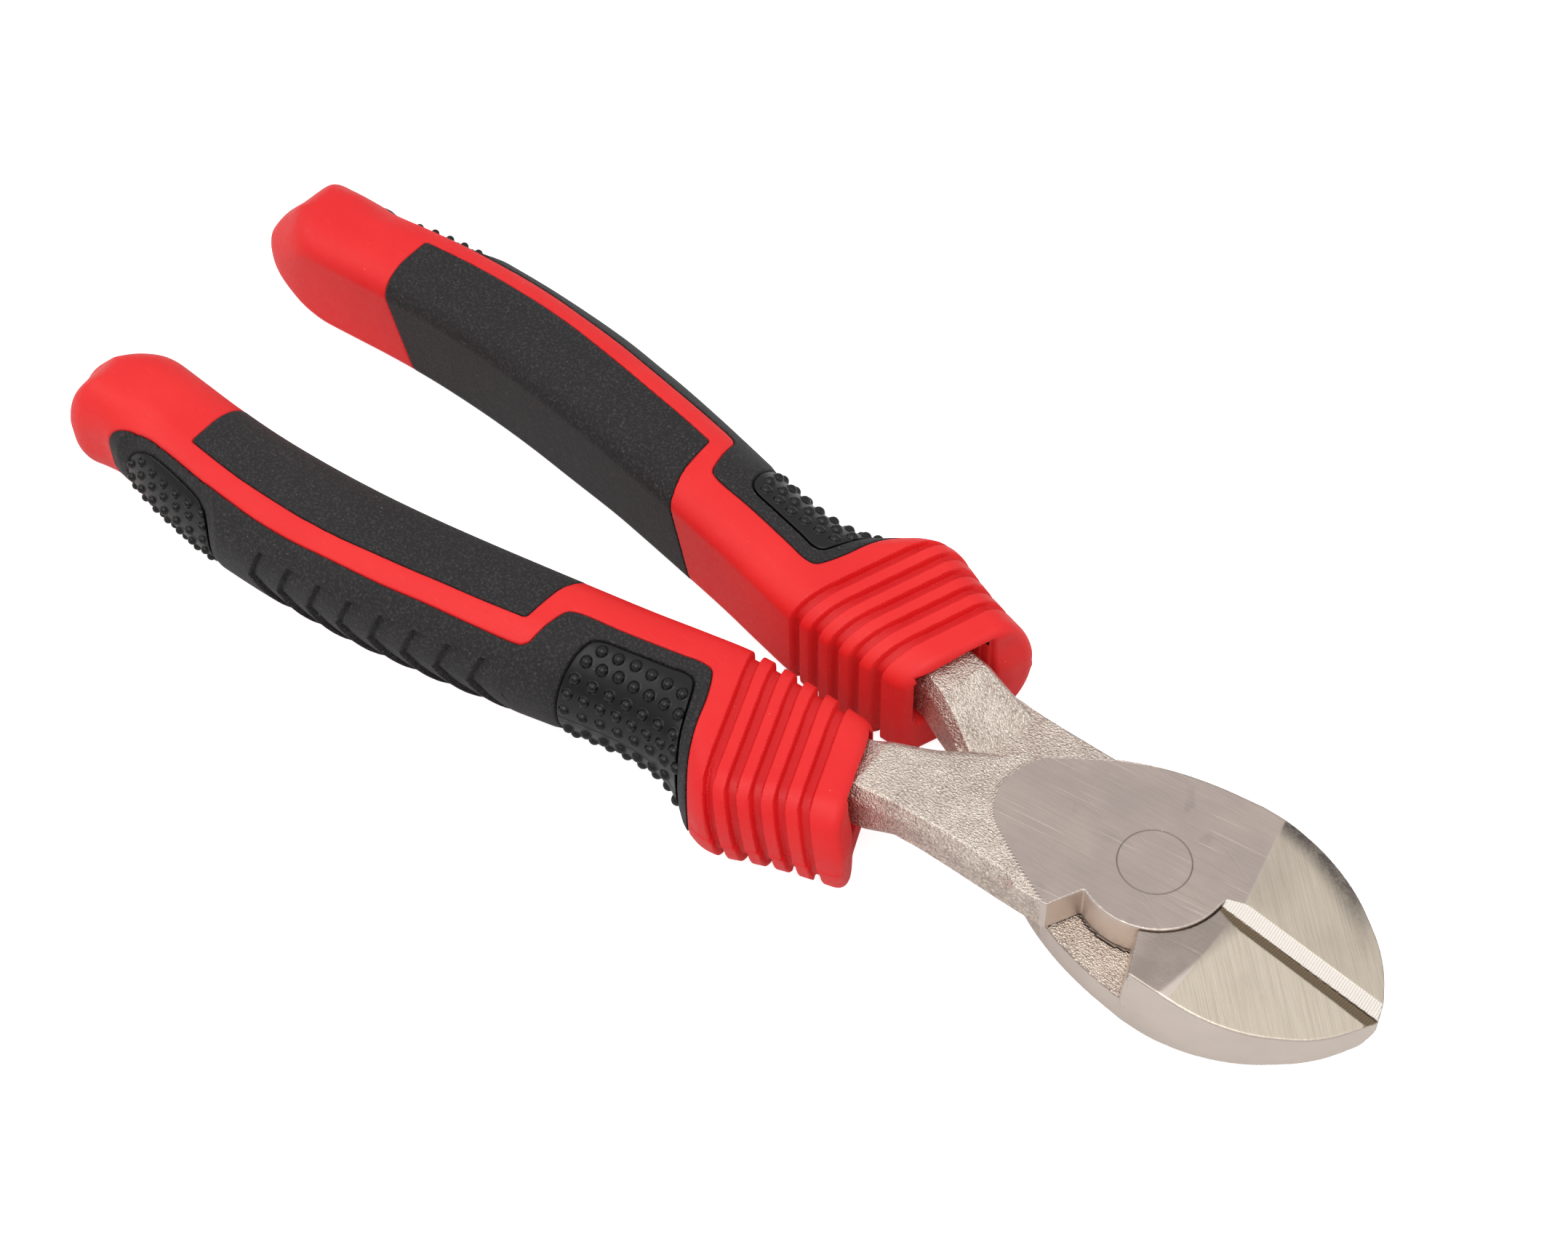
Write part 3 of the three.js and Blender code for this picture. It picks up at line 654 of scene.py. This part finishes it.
def lower_shank(x, y, z):
    """The shank below the lap plane, which ramps down behind the lap."""
    plan = SHANK(x, y)
    start = -28.6 + 0.20 * np.clip(-y - 2, 0, 11)
    ramp = (LAP_FACE - np.clip((start - x) * 0.46, 0, 4.0)
            - 0.12 * np.clip(start - 9 - x, 0, 4))
    base = np.maximum(ramp, RAMP_FLOOR + (TANG_FLOOR - RAMP_FLOOR) * fall(x, -38, 5))
    f = soft_max(plan, np.maximum(base - z, z - (LAP_Z + 1.2)), 0.3)
    f = soft_max(f, x + 24.5, 0.2)
    return soft_max(f, (plan + 1.2) * 0.857 + (base - z) * 0.515, 0.25)


def forging(x, y, z):
    bulge = 0.55 * (1 - ((z - LAP_Z) / LAP_Z) ** 2) * rise(x, -14, 8) * rise(y, 3, 4)
    lower_jaw = soft_max(JAW(x, y) - bulge, np.maximum(-z, z - (LAP_Z + 1.2)), 0.2)
    f = np.minimum(upper_layer(x, y, z, bulge), lower_jaw)
    f = np.minimum(f, lower_shank(x, y, z))
    facet = facet_z(x, y)
    f = soft_max(f, (z - facet) * 0.98, 0.12)
    f = soft_max(f, ((HEIGHT - facet) - z) * 0.98, 0.3)
    bevel = bevel_z(x, y)
    for under in (bevel - z, z - (HEIGHT - bevel)):
        cut = soft_max(soft_max(under * 0.89, y - 4.5, 0.1), 10.05 - x, 0.1)
        f = soft_max(f, -cut, 0.06)
    return soft_max(f, BORE_RADIUS - np.sqrt(x * x + y * y), 0.04)


def true_ring(points, normals, radius):
    """Puts the points along a round edge in a flat face exactly on its circle."""
    distance = np.hypot(points[:, 0], points[:, 1])
    for level, up in ((HEIGHT, 1), (0.0, -1)):
        near = (np.abs(distance - radius) < 0.16) & (np.abs(points[:, 2] - level) < 0.17)
        points[near, :2] *= (radius / distance[near])[:, None]
        points[near, 2] = level
        normals[near] = (0, 0, up)


def bevel_mask(x, y, offset, lift):
    """Offset is the distance from the bevel, lift how far the normal points out of it."""
    mask = fall(np.abs(offset), 0.30, 0.15) * (x > 10) * (y < 2.6) * rise(lift, 0.5, 0.2)
    return mask * fall(lift, 0.962, 0.02)


def forging_masks(points, normals):
    """Zones of finish, and the points' share of surface roughness."""
    x, y, z = points.T
    tilt = normals[:, 2]
    facing_up, facing_down = rise(tilt, 0.75, 0.15), rise(-tilt, 0.75, 0.15)
    radius = np.hypot(x, y)
    fz, bz = facet_z(x, y), bevel_z(x, y)
    bevel = bevel_mask(x, y, z - bz, tilt)
    bevel_low = bevel_mask(x, y, z - HEIGHT + bz, -tilt)
    facet = (fall(np.abs(z - fz), 0.17, 0.1) * rise(x + 0.2 * y, 12.4, 0.4)
             * facing_up * (1 - bevel))
    facet_low = (fall(np.abs(z - HEIGHT + fz), 0.17, 0.1) * (x > 12)
                 * facing_down * (1 - bevel_low))
    boss = 1 - rise(BOSS(x, y), -0.05, 0.5)
    ground = (boss * facing_up * rise(z - HEIGHT, -0.22, 0.1)
              * (1 - facet) * (1 - bevel))
    ground_low = facing_down * fall(z, 0.22, 0.1) * (1 - facet_low) * (1 - bevel_low)
    side = fall(np.abs(tilt), 0.5, 0.2) * rise(x, -10, 3)
    lap_face = (np.abs(z - LAP_FACE) < 0.12) & (tilt < -0.8)
    pocket = lap_face & (radius > 10.15) & (x > -14) & (y > 5)
    forged = fall(x, -6, 2) * (1 - ground) * (1 - lap_face * fall(radius, 14.5, 2))
    forged = np.maximum(forged, pocket * 1.0)
    forged = forged * (1 - side * (x > -8))
    rough = forged * ease((-18 - x) / 6 + 0.5) + pocket * 0.7
    rough = np.clip(rough, 0, 1) * (x > -48)
    # darkened rim of the upper facet, and the dull band behind the lower one
    rim = (rise(TOP(x, y), -3.6, 3.2) * rise(y, 4, 3) * fall(x, 29, 9) * facet)
    rim = np.maximum(rim, facet * 0.16 * fall(x, 17.5, 4) * rise(y, 1, 3))
    land = (ground_low * rise(x, 3, 4) * 0.75
            + facet_low * fall(x, 14.8 - 0.2 * y, 2.2) * 0.7)
    masks = {"burn": np.maximum(rim, land), "ground": np.maximum(ground, ground_low),
             "facet": np.maximum(facet, facet_low), "bevel": np.maximum(bevel, bevel_low),
             "forged": forged, "sidewall": side}
    return masks, rough


def forging_shape():
    cell = METAL_CELL
    xs = np.concatenate([np.arange(-142.5, -47, cell * 6), np.arange(-47, 9, cell),
                         np.arange(9, 34.3, cell * 0.72)])
    ys = np.concatenate([np.arange(-26.5, -0.9, cell), np.arange(-0.9, 3.4, cell * 0.6),
                         np.arange(3.4, 17.8, cell)])
    points, quads, normals = surface_nets(forging, xs, ys, span(-1.2, 12.6, cell * 0.9),
                                          rounds=4)
    true_ring(points, normals, BORE_RADIUS)
    masks, rough = forging_masks(points, normals)
    # fine skin of the forging, then a faint waviness of the side walls
    skin = (value_noise(points, (4.5, 3.2, 3.2), seed=3) * 0.06
            + value_noise(points, (1.5, 1.3, 1.3), seed=5) * 0.024
            + value_noise(points, 0.6, seed=9) * 0.022)
    points = points + normals * (skin * rough)[:, None]
    waves = value_noise(points, (3.5, 3.5, 3.5), seed=21) * 0.02
    points = points + normals * (waves * masks["sidewall"])[:, None]
    return (points, quads, normals), masks


def turned_over(points, quads, normals):
    x, y, z = points.T
    return np.stack([x, -y, HEIGHT - z], 1), quads, normals * np.array([1, -1, -1.0])


def rivet(x, y, z):
    return soft_max(np.sqrt(x * x + y * y) - RIVET_RADIUS, np.abs(z - LAP_Z) - LAP_Z, 0.04)


def rivet_shape():
    cell = RIVET_CELL
    across = span(-5.2, 5.2, cell)
    zs = np.concatenate([np.arange(-0.6, 1.2, cell), np.arange(1.2, 10.2, cell * 4),
                         np.arange(10.2, 12.1, cell)])
    points, quads, normals = surface_nets(rivet, across, across, zs)
    true_ring(points, normals, RIVET_RADIUS)
    cap = rise(np.abs(normals[:, 2]), 0.7, 0.2)
    none = 0 * cap
    masks = {"burn": none, "ground": cap, "facet": none, "bevel": none, "forged": none,
             "sidewall": 1 - cap}
    return (points, quads, normals), masks


# ---------------------------------------------------------------- materials
class Material:
    """A Principled material with short methods that add nodes and return their output."""

    def __init__(self, name):
        self.material = bpy.data.materials.new(name)
        self.material.use_nodes = True
        self.tree = self.material.node_tree
        self.tree.nodes.clear()
        output = self.node("OutputMaterial")
        self.shader = self.node("BsdfPrincipled")
        self.tree.links.new(self.shader.outputs[0], output.inputs[0])
        self.place = self.node("TexCoord").outputs["Object"]

    def put(self, socket, value):
        if isinstance(value, bpy.types.NodeSocket):
            self.tree.links.new(value, socket)
        else:
            socket.default_value = value

    def node(self, kind, **inputs):
        node = self.tree.nodes.new("ShaderNode" + kind)
        for name, value in inputs.items():
            self.put(node.inputs[name], value)
        return node

    def finish(self, settings):
        for name, value in settings.items():
            self.put(self.shader.inputs[name], value)
        return self.material

    def mapping(self, stretch, turn=0):
        """Coordinates turned about Z first and stretched afterwards."""
        turned = self.node("Mapping", Vector=self.place, Rotation=(0, 0, turn))
        return self.node("Mapping", Vector=turned.outputs[0], Scale=stretch).outputs[0]

    def noise(self, scale, detail=3, rough=0.55, vector=None, distort=0.0):
        return self.node("TexNoise", Vector=vector or self.place, Scale=scale, Detail=detail,
                         Roughness=rough, Distortion=distort).outputs[0]

    def streaks(self, turn, stretch, detail, rough=0.55):
        return self.noise(scale=1, detail=detail, rough=rough,
                          vector=self.mapping(stretch, turn))

    def cells(self, scale):
        return self.node("TexVoronoi", Vector=self.place, Scale=scale).outputs[0]

    def math(self, operation, *values):
        node = self.node("Math")
        node.operation = operation
        for socket, value in zip(node.inputs, values):
            self.put(socket, value)
        return node.outputs[0]

    def add(self, a, b):
        return self.math("ADD", a, b)

    def subtract(self, a, b):
        return self.math("SUBTRACT", a, b)

    def multiply(self, a, b):
        return self.math("MULTIPLY", a, b)

    def remap(self, value, span, to=(0.0, 1.0)):
        node = self.node("MapRange")
        for socket, setting in zip(node.inputs, (value, *span, *to)):
            self.put(socket, setting)
        return node.outputs[0]

    def mix(self, factor, a, b):
        node = self.node("Mix")
        node.data_type = "RGBA"
        for index, value in ((0, factor), (6, a), (7, b)):      # the colour sockets
            self.put(node.inputs[index], value)
        return node.outputs[2]

    def mask(self, name):
        node = self.node("Attribute")
        node.attribute_name = name
        return node.outputs["Fac"]

    def bump(self, height, strength, distance, normal=None):
        node = self.node("Bump", Height=height, Strength=strength, Distance=distance)
        if normal is not None:
            self.put(node.inputs["Normal"], normal)
        return node.outputs[0]

    def specks(self, base, colour, amount, scale, size, patches, chosen):
        """Dots at cell centres, kept only where a noise of scale patches is high."""
        dots = self.remap(self.cells(scale), span=size)
        kept = self.remap(self.noise(scale=patches, detail=1), span=chosen)
        return self.mix(self.multiply(self.multiply(dots, kept), amount), base, colour)


def srgb(*channels):
    """Linear colour from 0-255 sRGB channels."""
    def linear(c):
        return c / 12.92 if c <= 0.04045 else ((c + 0.055) / 1.055) ** 2.4
    return (*(linear(c / 255) for c in channels), 1.0)


def red_material():
    mat = Material("moulded_red")
    cloud = mat.noise(scale=55)
    fine = mat.noise(scale=1500, detail=4, rough=0.6)
    scuff = mat.streaks(turn=0.25, stretch=(300, 2600, 900), detail=2)
    base = mat.mix(mat.remap(cloud, span=(0.35, 0.65)), srgb(236, 34, 38), srgb(243, 44, 44))
    base = mat.mix(mat.remap(scuff, span=(0.62, 0.8), to=(0.0, 0.18)), base,
                   srgb(250, 92, 84))
    # dust specks and small dark pits
    base = mat.specks(base, srgb(255, 190, 180), amount=0.55, scale=900, size=(0.10, 0.05),
                      patches=620, chosen=(0.66, 0.70))
    base = mat.specks(base, srgb(140, 12, 20), amount=0.5, scale=340, size=(0.06, 0.03),
                      patches=260, chosen=(0.66, 0.70))
    # painted shade: the floors of the guard grooves are tinted a darker red
    base = mat.mix(mat.multiply(mat.mask("groove"), 0.42), base, srgb(186, 12, 24))
    rough = mat.add(mat.remap(fine, span=(0.3, 0.7), to=(0.40, 0.54)),
                    mat.remap(cloud, span=(0.3, 0.7), to=(-0.03, 0.03)))
    normal = mat.bump(fine, strength=0.22, distance=0.00012)
    normal = mat.bump(mat.noise(scale=160, detail=2), strength=0.12, distance=0.0006,
                      normal=normal)
    return mat.finish({
        "Base Color": base, "Roughness": rough, "Normal": normal, "IOR": 1.46,
        "Subsurface Weight": 0.06, "Subsurface Radius": (0.0022, 0.0006, 0.0004),
        "Subsurface Scale": 1.0, "Specular IOR Level": 0.38})


def matte_material():
    mat = Material("moulded_black_matte")
    cloud = mat.noise(scale=70)
    grain = mat.noise(scale=2600, detail=5, rough=0.7)
    coarse = mat.noise(scale=900, rough=0.6)
    base = mat.mix(mat.remap(cloud, span=(0.3, 0.7)), srgb(26, 24, 25), srgb(33, 31, 32))
    base = mat.mix(mat.remap(grain, span=(0.50, 0.70), to=(0.0, 0.8)), base,
                   srgb(82, 76, 78))
    base = mat.mix(mat.remap(grain, span=(0.46, 0.30), to=(0.0, 0.7)), base,
                   srgb(12, 11, 12))
    base = mat.specks(base, srgb(150, 142, 142), amount=0.5, scale=1500, size=(0.16, 0.08),
                      patches=900, chosen=(0.56, 0.60))
    normal = mat.bump(grain, strength=0.8, distance=0.00018)
    normal = mat.bump(coarse, strength=0.25, distance=0.0003, normal=normal)
    return mat.finish({
        "Base Color": base, "Normal": normal,
        "Roughness": mat.remap(grain, span=(0.3, 0.7), to=(0.55, 0.78)),
        "Specular IOR Level": 0.40, "Sheen Weight": 0.06, "Sheen Roughness": 0.45})


def satin_material():
    mat = Material("moulded_black_satin")
    cloud = mat.noise(scale=120)
    fine = mat.noise(scale=1900)
    base = mat.mix(mat.remap(cloud, span=(0.35, 0.65)), srgb(10, 9, 10), srgb(15, 14, 15))
    base = mat.specks(base, srgb(150, 146, 144), amount=0.6, scale=900, size=(0.10, 0.05),
                      patches=640, chosen=(0.68, 0.71))
    rough = mat.add(mat.remap(cloud, span=(0.3, 0.7), to=(0.24, 0.32)),
                    mat.remap(fine, span=(0.3, 0.7), to=(0.0, 0.05)))
    normal = mat.bump(mat.noise(scale=320, detail=2), strength=0.10, distance=0.0004)
    normal = mat.bump(fine, strength=0.06, distance=0.00008, normal=normal)
    return mat.finish({"Base Color": base, "Roughness": rough, "Normal": normal,
                       "Specular IOR Level": 0.42})


def rivet_gap_shade(mat):
    """Painted shade: a fine dark ring round the flush rivet, where the hairline gap is; lengths
    in metres.
    """
    split = mat.node("SeparateXYZ", Vector=mat.place).outputs
    radius = mat.math("SQRT", mat.add(mat.multiply(split[0], split[0]),
                                      mat.multiply(split[1], split[1])))
    offset = mat.math("ABSOLUTE", mat.subtract(radius, 0.00471))
    return mat.remap(offset, span=(0.00015, 0.00007))


def metal_material(name, bevel_tints, dark_patch_colour):
    """Plated forging: ground boss, brushed facets, lined bevel, rough shank, by masks."""
    mat = Material(name)
    ground, facet, bevel = mat.mask("ground"), mat.mask("facet"), mat.mask("bevel")
    forged, wall = mat.mask("forged"), mat.mask("sidewall")
    # brush marks and scratches
    lap_lines = mat.streaks(turn=radians(-5), stretch=(90, 3600, 900), detail=3, rough=0.6)
    lap_fine = mat.streaks(turn=radians(3), stretch=(220, 7000, 900), detail=2, rough=0.5)
    scratch = mat.streaks(turn=radians(-7), stretch=(60, 3000, 300), detail=1, rough=0.5)
    cross = mat.streaks(turn=radians(24), stretch=(90, 2600, 300), detail=1, rough=0.5)
    facet_lines = mat.streaks(turn=radians(44), stretch=(110, 6000, 150), detail=3,
                              rough=0.6)
    facet_fine = mat.streaks(turn=radians(47), stretch=(260, 12000, 150), detail=2,
                             rough=0.6)
    wave = mat.node("TexWave", Vector=mat.place, Scale=900, Distortion=0.8, Detail=2)
    wave.wave_type, wave.bands_direction = "BANDS", "X"
    bevel_lines = wave.outputs["Fac"]
    cloud = mat.noise(scale=95, detail=4, rough=0.6)
    mottle = mat.noise(scale=300, rough=0.6)
    grit = mat.noise(scale=3600, rough=0.6, vector=mat.mapping(stretch=(0.7, 1, 1)))
    # colour of each zone
    ground_tint = mat.mix(mat.remap(cloud, span=(0.35, 0.68)), srgb(192, 178, 171),
                          srgb(206, 190, 180))
    ground_tint = mat.mix(mat.remap(lap_lines, span=(0.45, 0.75), to=(0.0, 0.4)),
                          ground_tint, srgb(176, 163, 157))
    ground_tint = mat.mix(mat.remap(scratch, span=(0.69, 0.74), to=(0.0, 0.3)),
                          ground_tint, srgb(232, 222, 212))
    stain = mat.noise(scale=130, rough=0.6, distort=0.6)
    stain = mat.multiply(mat.remap(stain, span=(0.60, 0.72)), 0.35)
    ground_tint = mat.mix(stain, ground_tint, srgb(156, 145, 143))
    facet_tint = mat.mix(mat.remap(facet_lines, span=(0.38, 0.68)), srgb(224, 212, 195),
                         srgb(209, 196, 178))
    facet_tint = mat.mix(mat.remap(cloud, span=(0.55, 0.75), to=(0.0, 0.3)), facet_tint,
                         srgb(186, 173, 156))
    forged_tone_and_glints = mat.mix(mat.remap(mottle, span=(0.35, 0.7)), srgb(230, 216, 204),
                          srgb(202, 185, 174))
    # painted highlights: light glints where the grit noise is high; painted shade: dark flecks
    # in the pits where it is low
    forged_tone_and_glints = mat.mix(mat.remap(grit, span=(0.54, 0.64), to=(0.0, 0.85)), forged_tone_and_glints,
                          srgb(255, 248, 236))
    forged_tone_and_glints = mat.mix(mat.remap(grit, span=(0.46, 0.35), to=(0.0, 0.6)), forged_tone_and_glints,
                          srgb(140, 126, 117))
    wall_tint = mat.mix(mat.remap(cloud, span=(0.3, 0.7)), srgb(217, 204, 196),
                        srgb(228, 215, 204))
    base = mat.mix(forged, wall_tint, forged_tone_and_glints)
    base = mat.mix(ground, base, ground_tint)
    base = mat.mix(facet, base, facet_tint)
    patchy = mat.add(mottle, mat.multiply(grit, 0.5))
    # darker mottled patches: the outer rim of the upper facet and the land behind the lower
    # facet
    burn = mat.multiply(mat.mask("burn"), mat.remap(patchy, span=(0.55, 0.85),
                                                    to=(0.65, 1.0)))
    base = mat.mix(burn, base, dark_patch_colour)
    # painted shade along the gap round the rivet, on the ground faces
    seam = mat.multiply(mat.multiply(rivet_gap_shade(mat), ground), 0.6)
    base = mat.mix(seam, base, srgb(112, 101, 96))
    base = mat.mix(bevel, base, mat.mix(bevel_lines, *bevel_tints))
    # roughness: side walls first, then each zone over the last
    ground_rough = mat.add(mat.remap(lap_fine, span=(0.3, 0.7), to=(0.30, 0.46)),
                           mat.remap(scratch, span=(0.69, 0.74), to=(0.0, -0.08)))
    facet_rough = mat.remap(facet_fine, span=(0.3, 0.7), to=(0.30, 0.48))
    forged_rough = mat.remap(grit, span=(0.3, 0.7), to=(0.30, 0.48))
    rough = 0.42
    for zone, value in ((forged, forged_rough), (ground, ground_rough),
                        (facet, facet_rough), (bevel, 0.52)):
        rough = mat.remap(zone, span=(0, 1), to=(rough, value))
    # relief of each zone
    lap_relief = mat.add(mat.multiply(lap_lines, 0.6), mat.multiply(lap_fine, 0.6))
    lap_relief = mat.subtract(lap_relief,
                              mat.remap(scratch, span=(0.69, 0.74), to=(0.0, 0.5)))
    lap_relief = mat.subtract(lap_relief,
                              mat.remap(cross, span=(0.70, 0.75), to=(0.0, 0.5)))
    lap_relief = mat.multiply(lap_relief, ground)
    facet_relief = mat.multiply(mat.add(facet_lines, mat.multiply(facet_fine, 0.7)), facet)
    bevel_relief = mat.multiply(mat.multiply(bevel_lines, 1.0), bevel)
    normal = mat.bump(mat.add(mat.add(lap_relief, facet_relief), bevel_relief),
                      strength=0.42, distance=0.00005)
    normal = mat.bump(mat.multiply(mottle, forged), strength=0.4, distance=0.0003,
                      normal=normal)
    pits = mat.add(mat.multiply(grit, 1.0), mat.multiply(mat.cells(4200), 0.5))
    pits = mat.multiply(pits, mat.math("MAXIMUM", forged, mat.multiply(wall, 0.06)))
    normal = mat.bump(pits, strength=1.0, distance=0.00016, normal=normal)
    return mat.finish({"Base Color": base, "Metallic": 1.0, "Roughness": rough,
                       "Normal": normal})


RED, MATTE, SATIN = red_material(), matte_material(), satin_material()
UPPER_METAL = metal_material("plated_steel_upper", dark_patch_colour=srgb(104, 96, 92),
                             bevel_tints=(srgb(219, 213, 207), srgb(204, 197, 190)))
# the lower half's bevel gets darker, browner tones than the upper's: painted shade, a dim
# reflection painted into the colour
LOWER_METAL = metal_material("plated_steel_lower", dark_patch_colour=srgb(160, 149, 141),
                             bevel_tints=(srgb(152, 135, 111), srgb(133, 117, 94)))
RIVET_METAL = metal_material("plated_steel_rivet", dark_patch_colour=srgb(104, 96, 92),
                             bevel_tints=(srgb(222, 211, 192), srgb(190, 178, 158)))


# ---------------------------------------------------------------- pieces
def add_metal():
    shape, masks = forging_shape()
    add_piece("upper_half_forging", shape, UPPER_METAL, "upper_half",
              "upper_half_jaw_and_tang", masks)
    add_piece("lower_half_forging", turned_over(*shape), LOWER_METAL, "lower_half",
              "lower_half_jaw_and_tang", masks)
    shape, masks = rivet_shape()
    add_piece("pivot_rivet_flush", shape, RIVET_METAL, "upper_half", "pivot_rivet", masks)


def add_sleeves():
    shapes = sleeve_shapes()
    # the groove mask marks where the red material paints shade in the guard grooves
    masks = {"red": {"groove": groove_shade_mask(*shapes["red"][0].T)}}
    for half in ("upper", "lower"):
        for key, part, material in (
                ("red", "grip_sleeve_red", RED), ("inner", "grip_inner_inlay", MATTE),
                ("outer", "grip_outer_inlay", MATTE), ("front", "grip_front_pad", SATIN),
                ("rear", "grip_rear_pad", SATIN)):
            shape = mirrored(*shapes[key]) if half == "upper" else shapes[key]
            node = f"{half}_{part}"
            add_piece(f"{node}_shape", shape, material, f"{half}_half", node,
                      masks.get(key, {}))


add_metal()
add_sleeves()


# ---------------------------------------------------------------- stage (metres)
def floor_material():
    mat = Material("studio_white")
    grey = mat.remap(mat.noise(scale=3, detail=2), span=(0.3, 0.7), to=(0.76, 0.79))
    colour = mat.node("CombineColor", Red=grey, Green=grey, Blue=grey)
    seen = mat.node("LightPath").outputs["Is Camera Ray"]
    return mat.finish({
        "Base Color": colour.outputs[0], "Roughness": 0.9, "Emission Color": (1, 1, 1, 1),
        "Emission Strength": mat.multiply(seen, 0.8), "Specular IOR Level": 0.05})


def add_floor():
    n = 40      # points along each side
    line = np.linspace(-3.0, 3.0, n)
    points = [(x, y, SLEEVE_LOW * MM) for x in line for y in line]
    faces = [(i * n + j, (i + 1) * n + j, (i + 1) * n + j + 1, i * n + j + 1)
             for i in range(n - 1) for j in range(n - 1)]
    mesh = bpy.data.meshes.new("studio_floor")
    mesh.from_pydata(points, [], faces)
    ground = bpy.data.objects.new("studio_floor", mesh)
    bpy.context.scene.collection.objects.link(ground)
    mesh.materials.append(floor_material())


def add_light(name, place, size, power, color=(1, 1, 1)):
    """Rectangular light aimed at the middle of the pliers."""
    data = bpy.data.lights.new(name, "AREA")
    data.shape = "RECTANGLE"
    data.size, data.size_y = size
    data.energy = power
    data.color = color
    lamp = bpy.data.objects.new(name, data)
    bpy.context.scene.collection.objects.link(lamp)
    lamp.location = place
    aim = Vector((-0.06, 0, 0)) - Vector(place)
    lamp.rotation_euler = aim.to_track_quat("-Z", "Y").to_euler()


def add_world():
    """Grey sky that gets lighter from the horizon to the zenith."""
    world = bpy.data.worlds.new("studio_world")
    bpy.context.scene.world = world
    world.use_nodes = True
    nodes, links = world.node_tree.nodes, world.node_tree.links
    place = nodes.new("ShaderNodeTexCoord")
    split = nodes.new("ShaderNodeSeparateXYZ")
    remap = nodes.new("ShaderNodeMapRange")
    colour = nodes.new("ShaderNodeCombineColor")
    links.new(place.outputs["Generated"], split.inputs[0])
    links.new(split.outputs["Z"], remap.inputs[0])
    # height from 0 to 1 gives grey from 0.36 to 0.86
    for i, value in enumerate((0.0, 1.0, 0.36, 0.86), start=1):
        remap.inputs[i].default_value = value
    for socket in colour.inputs:
        links.new(remap.outputs[0], socket)
    background = nodes["Background"]
    links.new(colour.outputs[0], background.inputs[0])
    background.inputs["Strength"].default_value = 1.0


def add_camera():
    data = bpy.data.cameras.new("studio_camera")
    data.sensor_fit = "HORIZONTAL"
    data.sensor_width = 36.0
    data.lens = 66.7903525046
    data.clip_start, data.clip_end = 0.01, 20
    camera = bpy.data.objects.new("studio_camera", data)
    bpy.context.scene.collection.objects.link(camera)
    back = Vector((0.378, -0.4676, 0.799)).normalized()
    right = Vector((0.7870, 0.6169, -0.0113)).normalized()
    up = back.cross(right).normalized()
    right = up.cross(back).normalized()
    place = Vector((0.0863, -0.1793, 0.3191))
    camera.matrix_world = Matrix((
        (right.x, up.x, back.x, place.x), (right.y, up.y, back.y, place.y),
        (right.z, up.z, back.z, place.z), (0, 0, 0, 1)))
    bpy.context.scene.camera = camera


add_floor()
add_light("key_overhead", place=(0.05, -0.38, 1.02), size=(0.9, 0.8), power=4.3,
          color=(1.0, 0.985, 0.96))
add_light("fill_left", place=(-0.95, -0.35, 0.65), size=(0.6, 0.5), power=1.3,
          color=(1.0, 0.99, 0.98))
add_light("rim_right", place=(0.85, 0.55, 0.50), size=(0.4, 0.6), power=0.9)
add_world()
add_camera()
bpy.context.scene.view_settings.view_transform = "Standard"
bpy.context.scene.view_settings.look = "None"
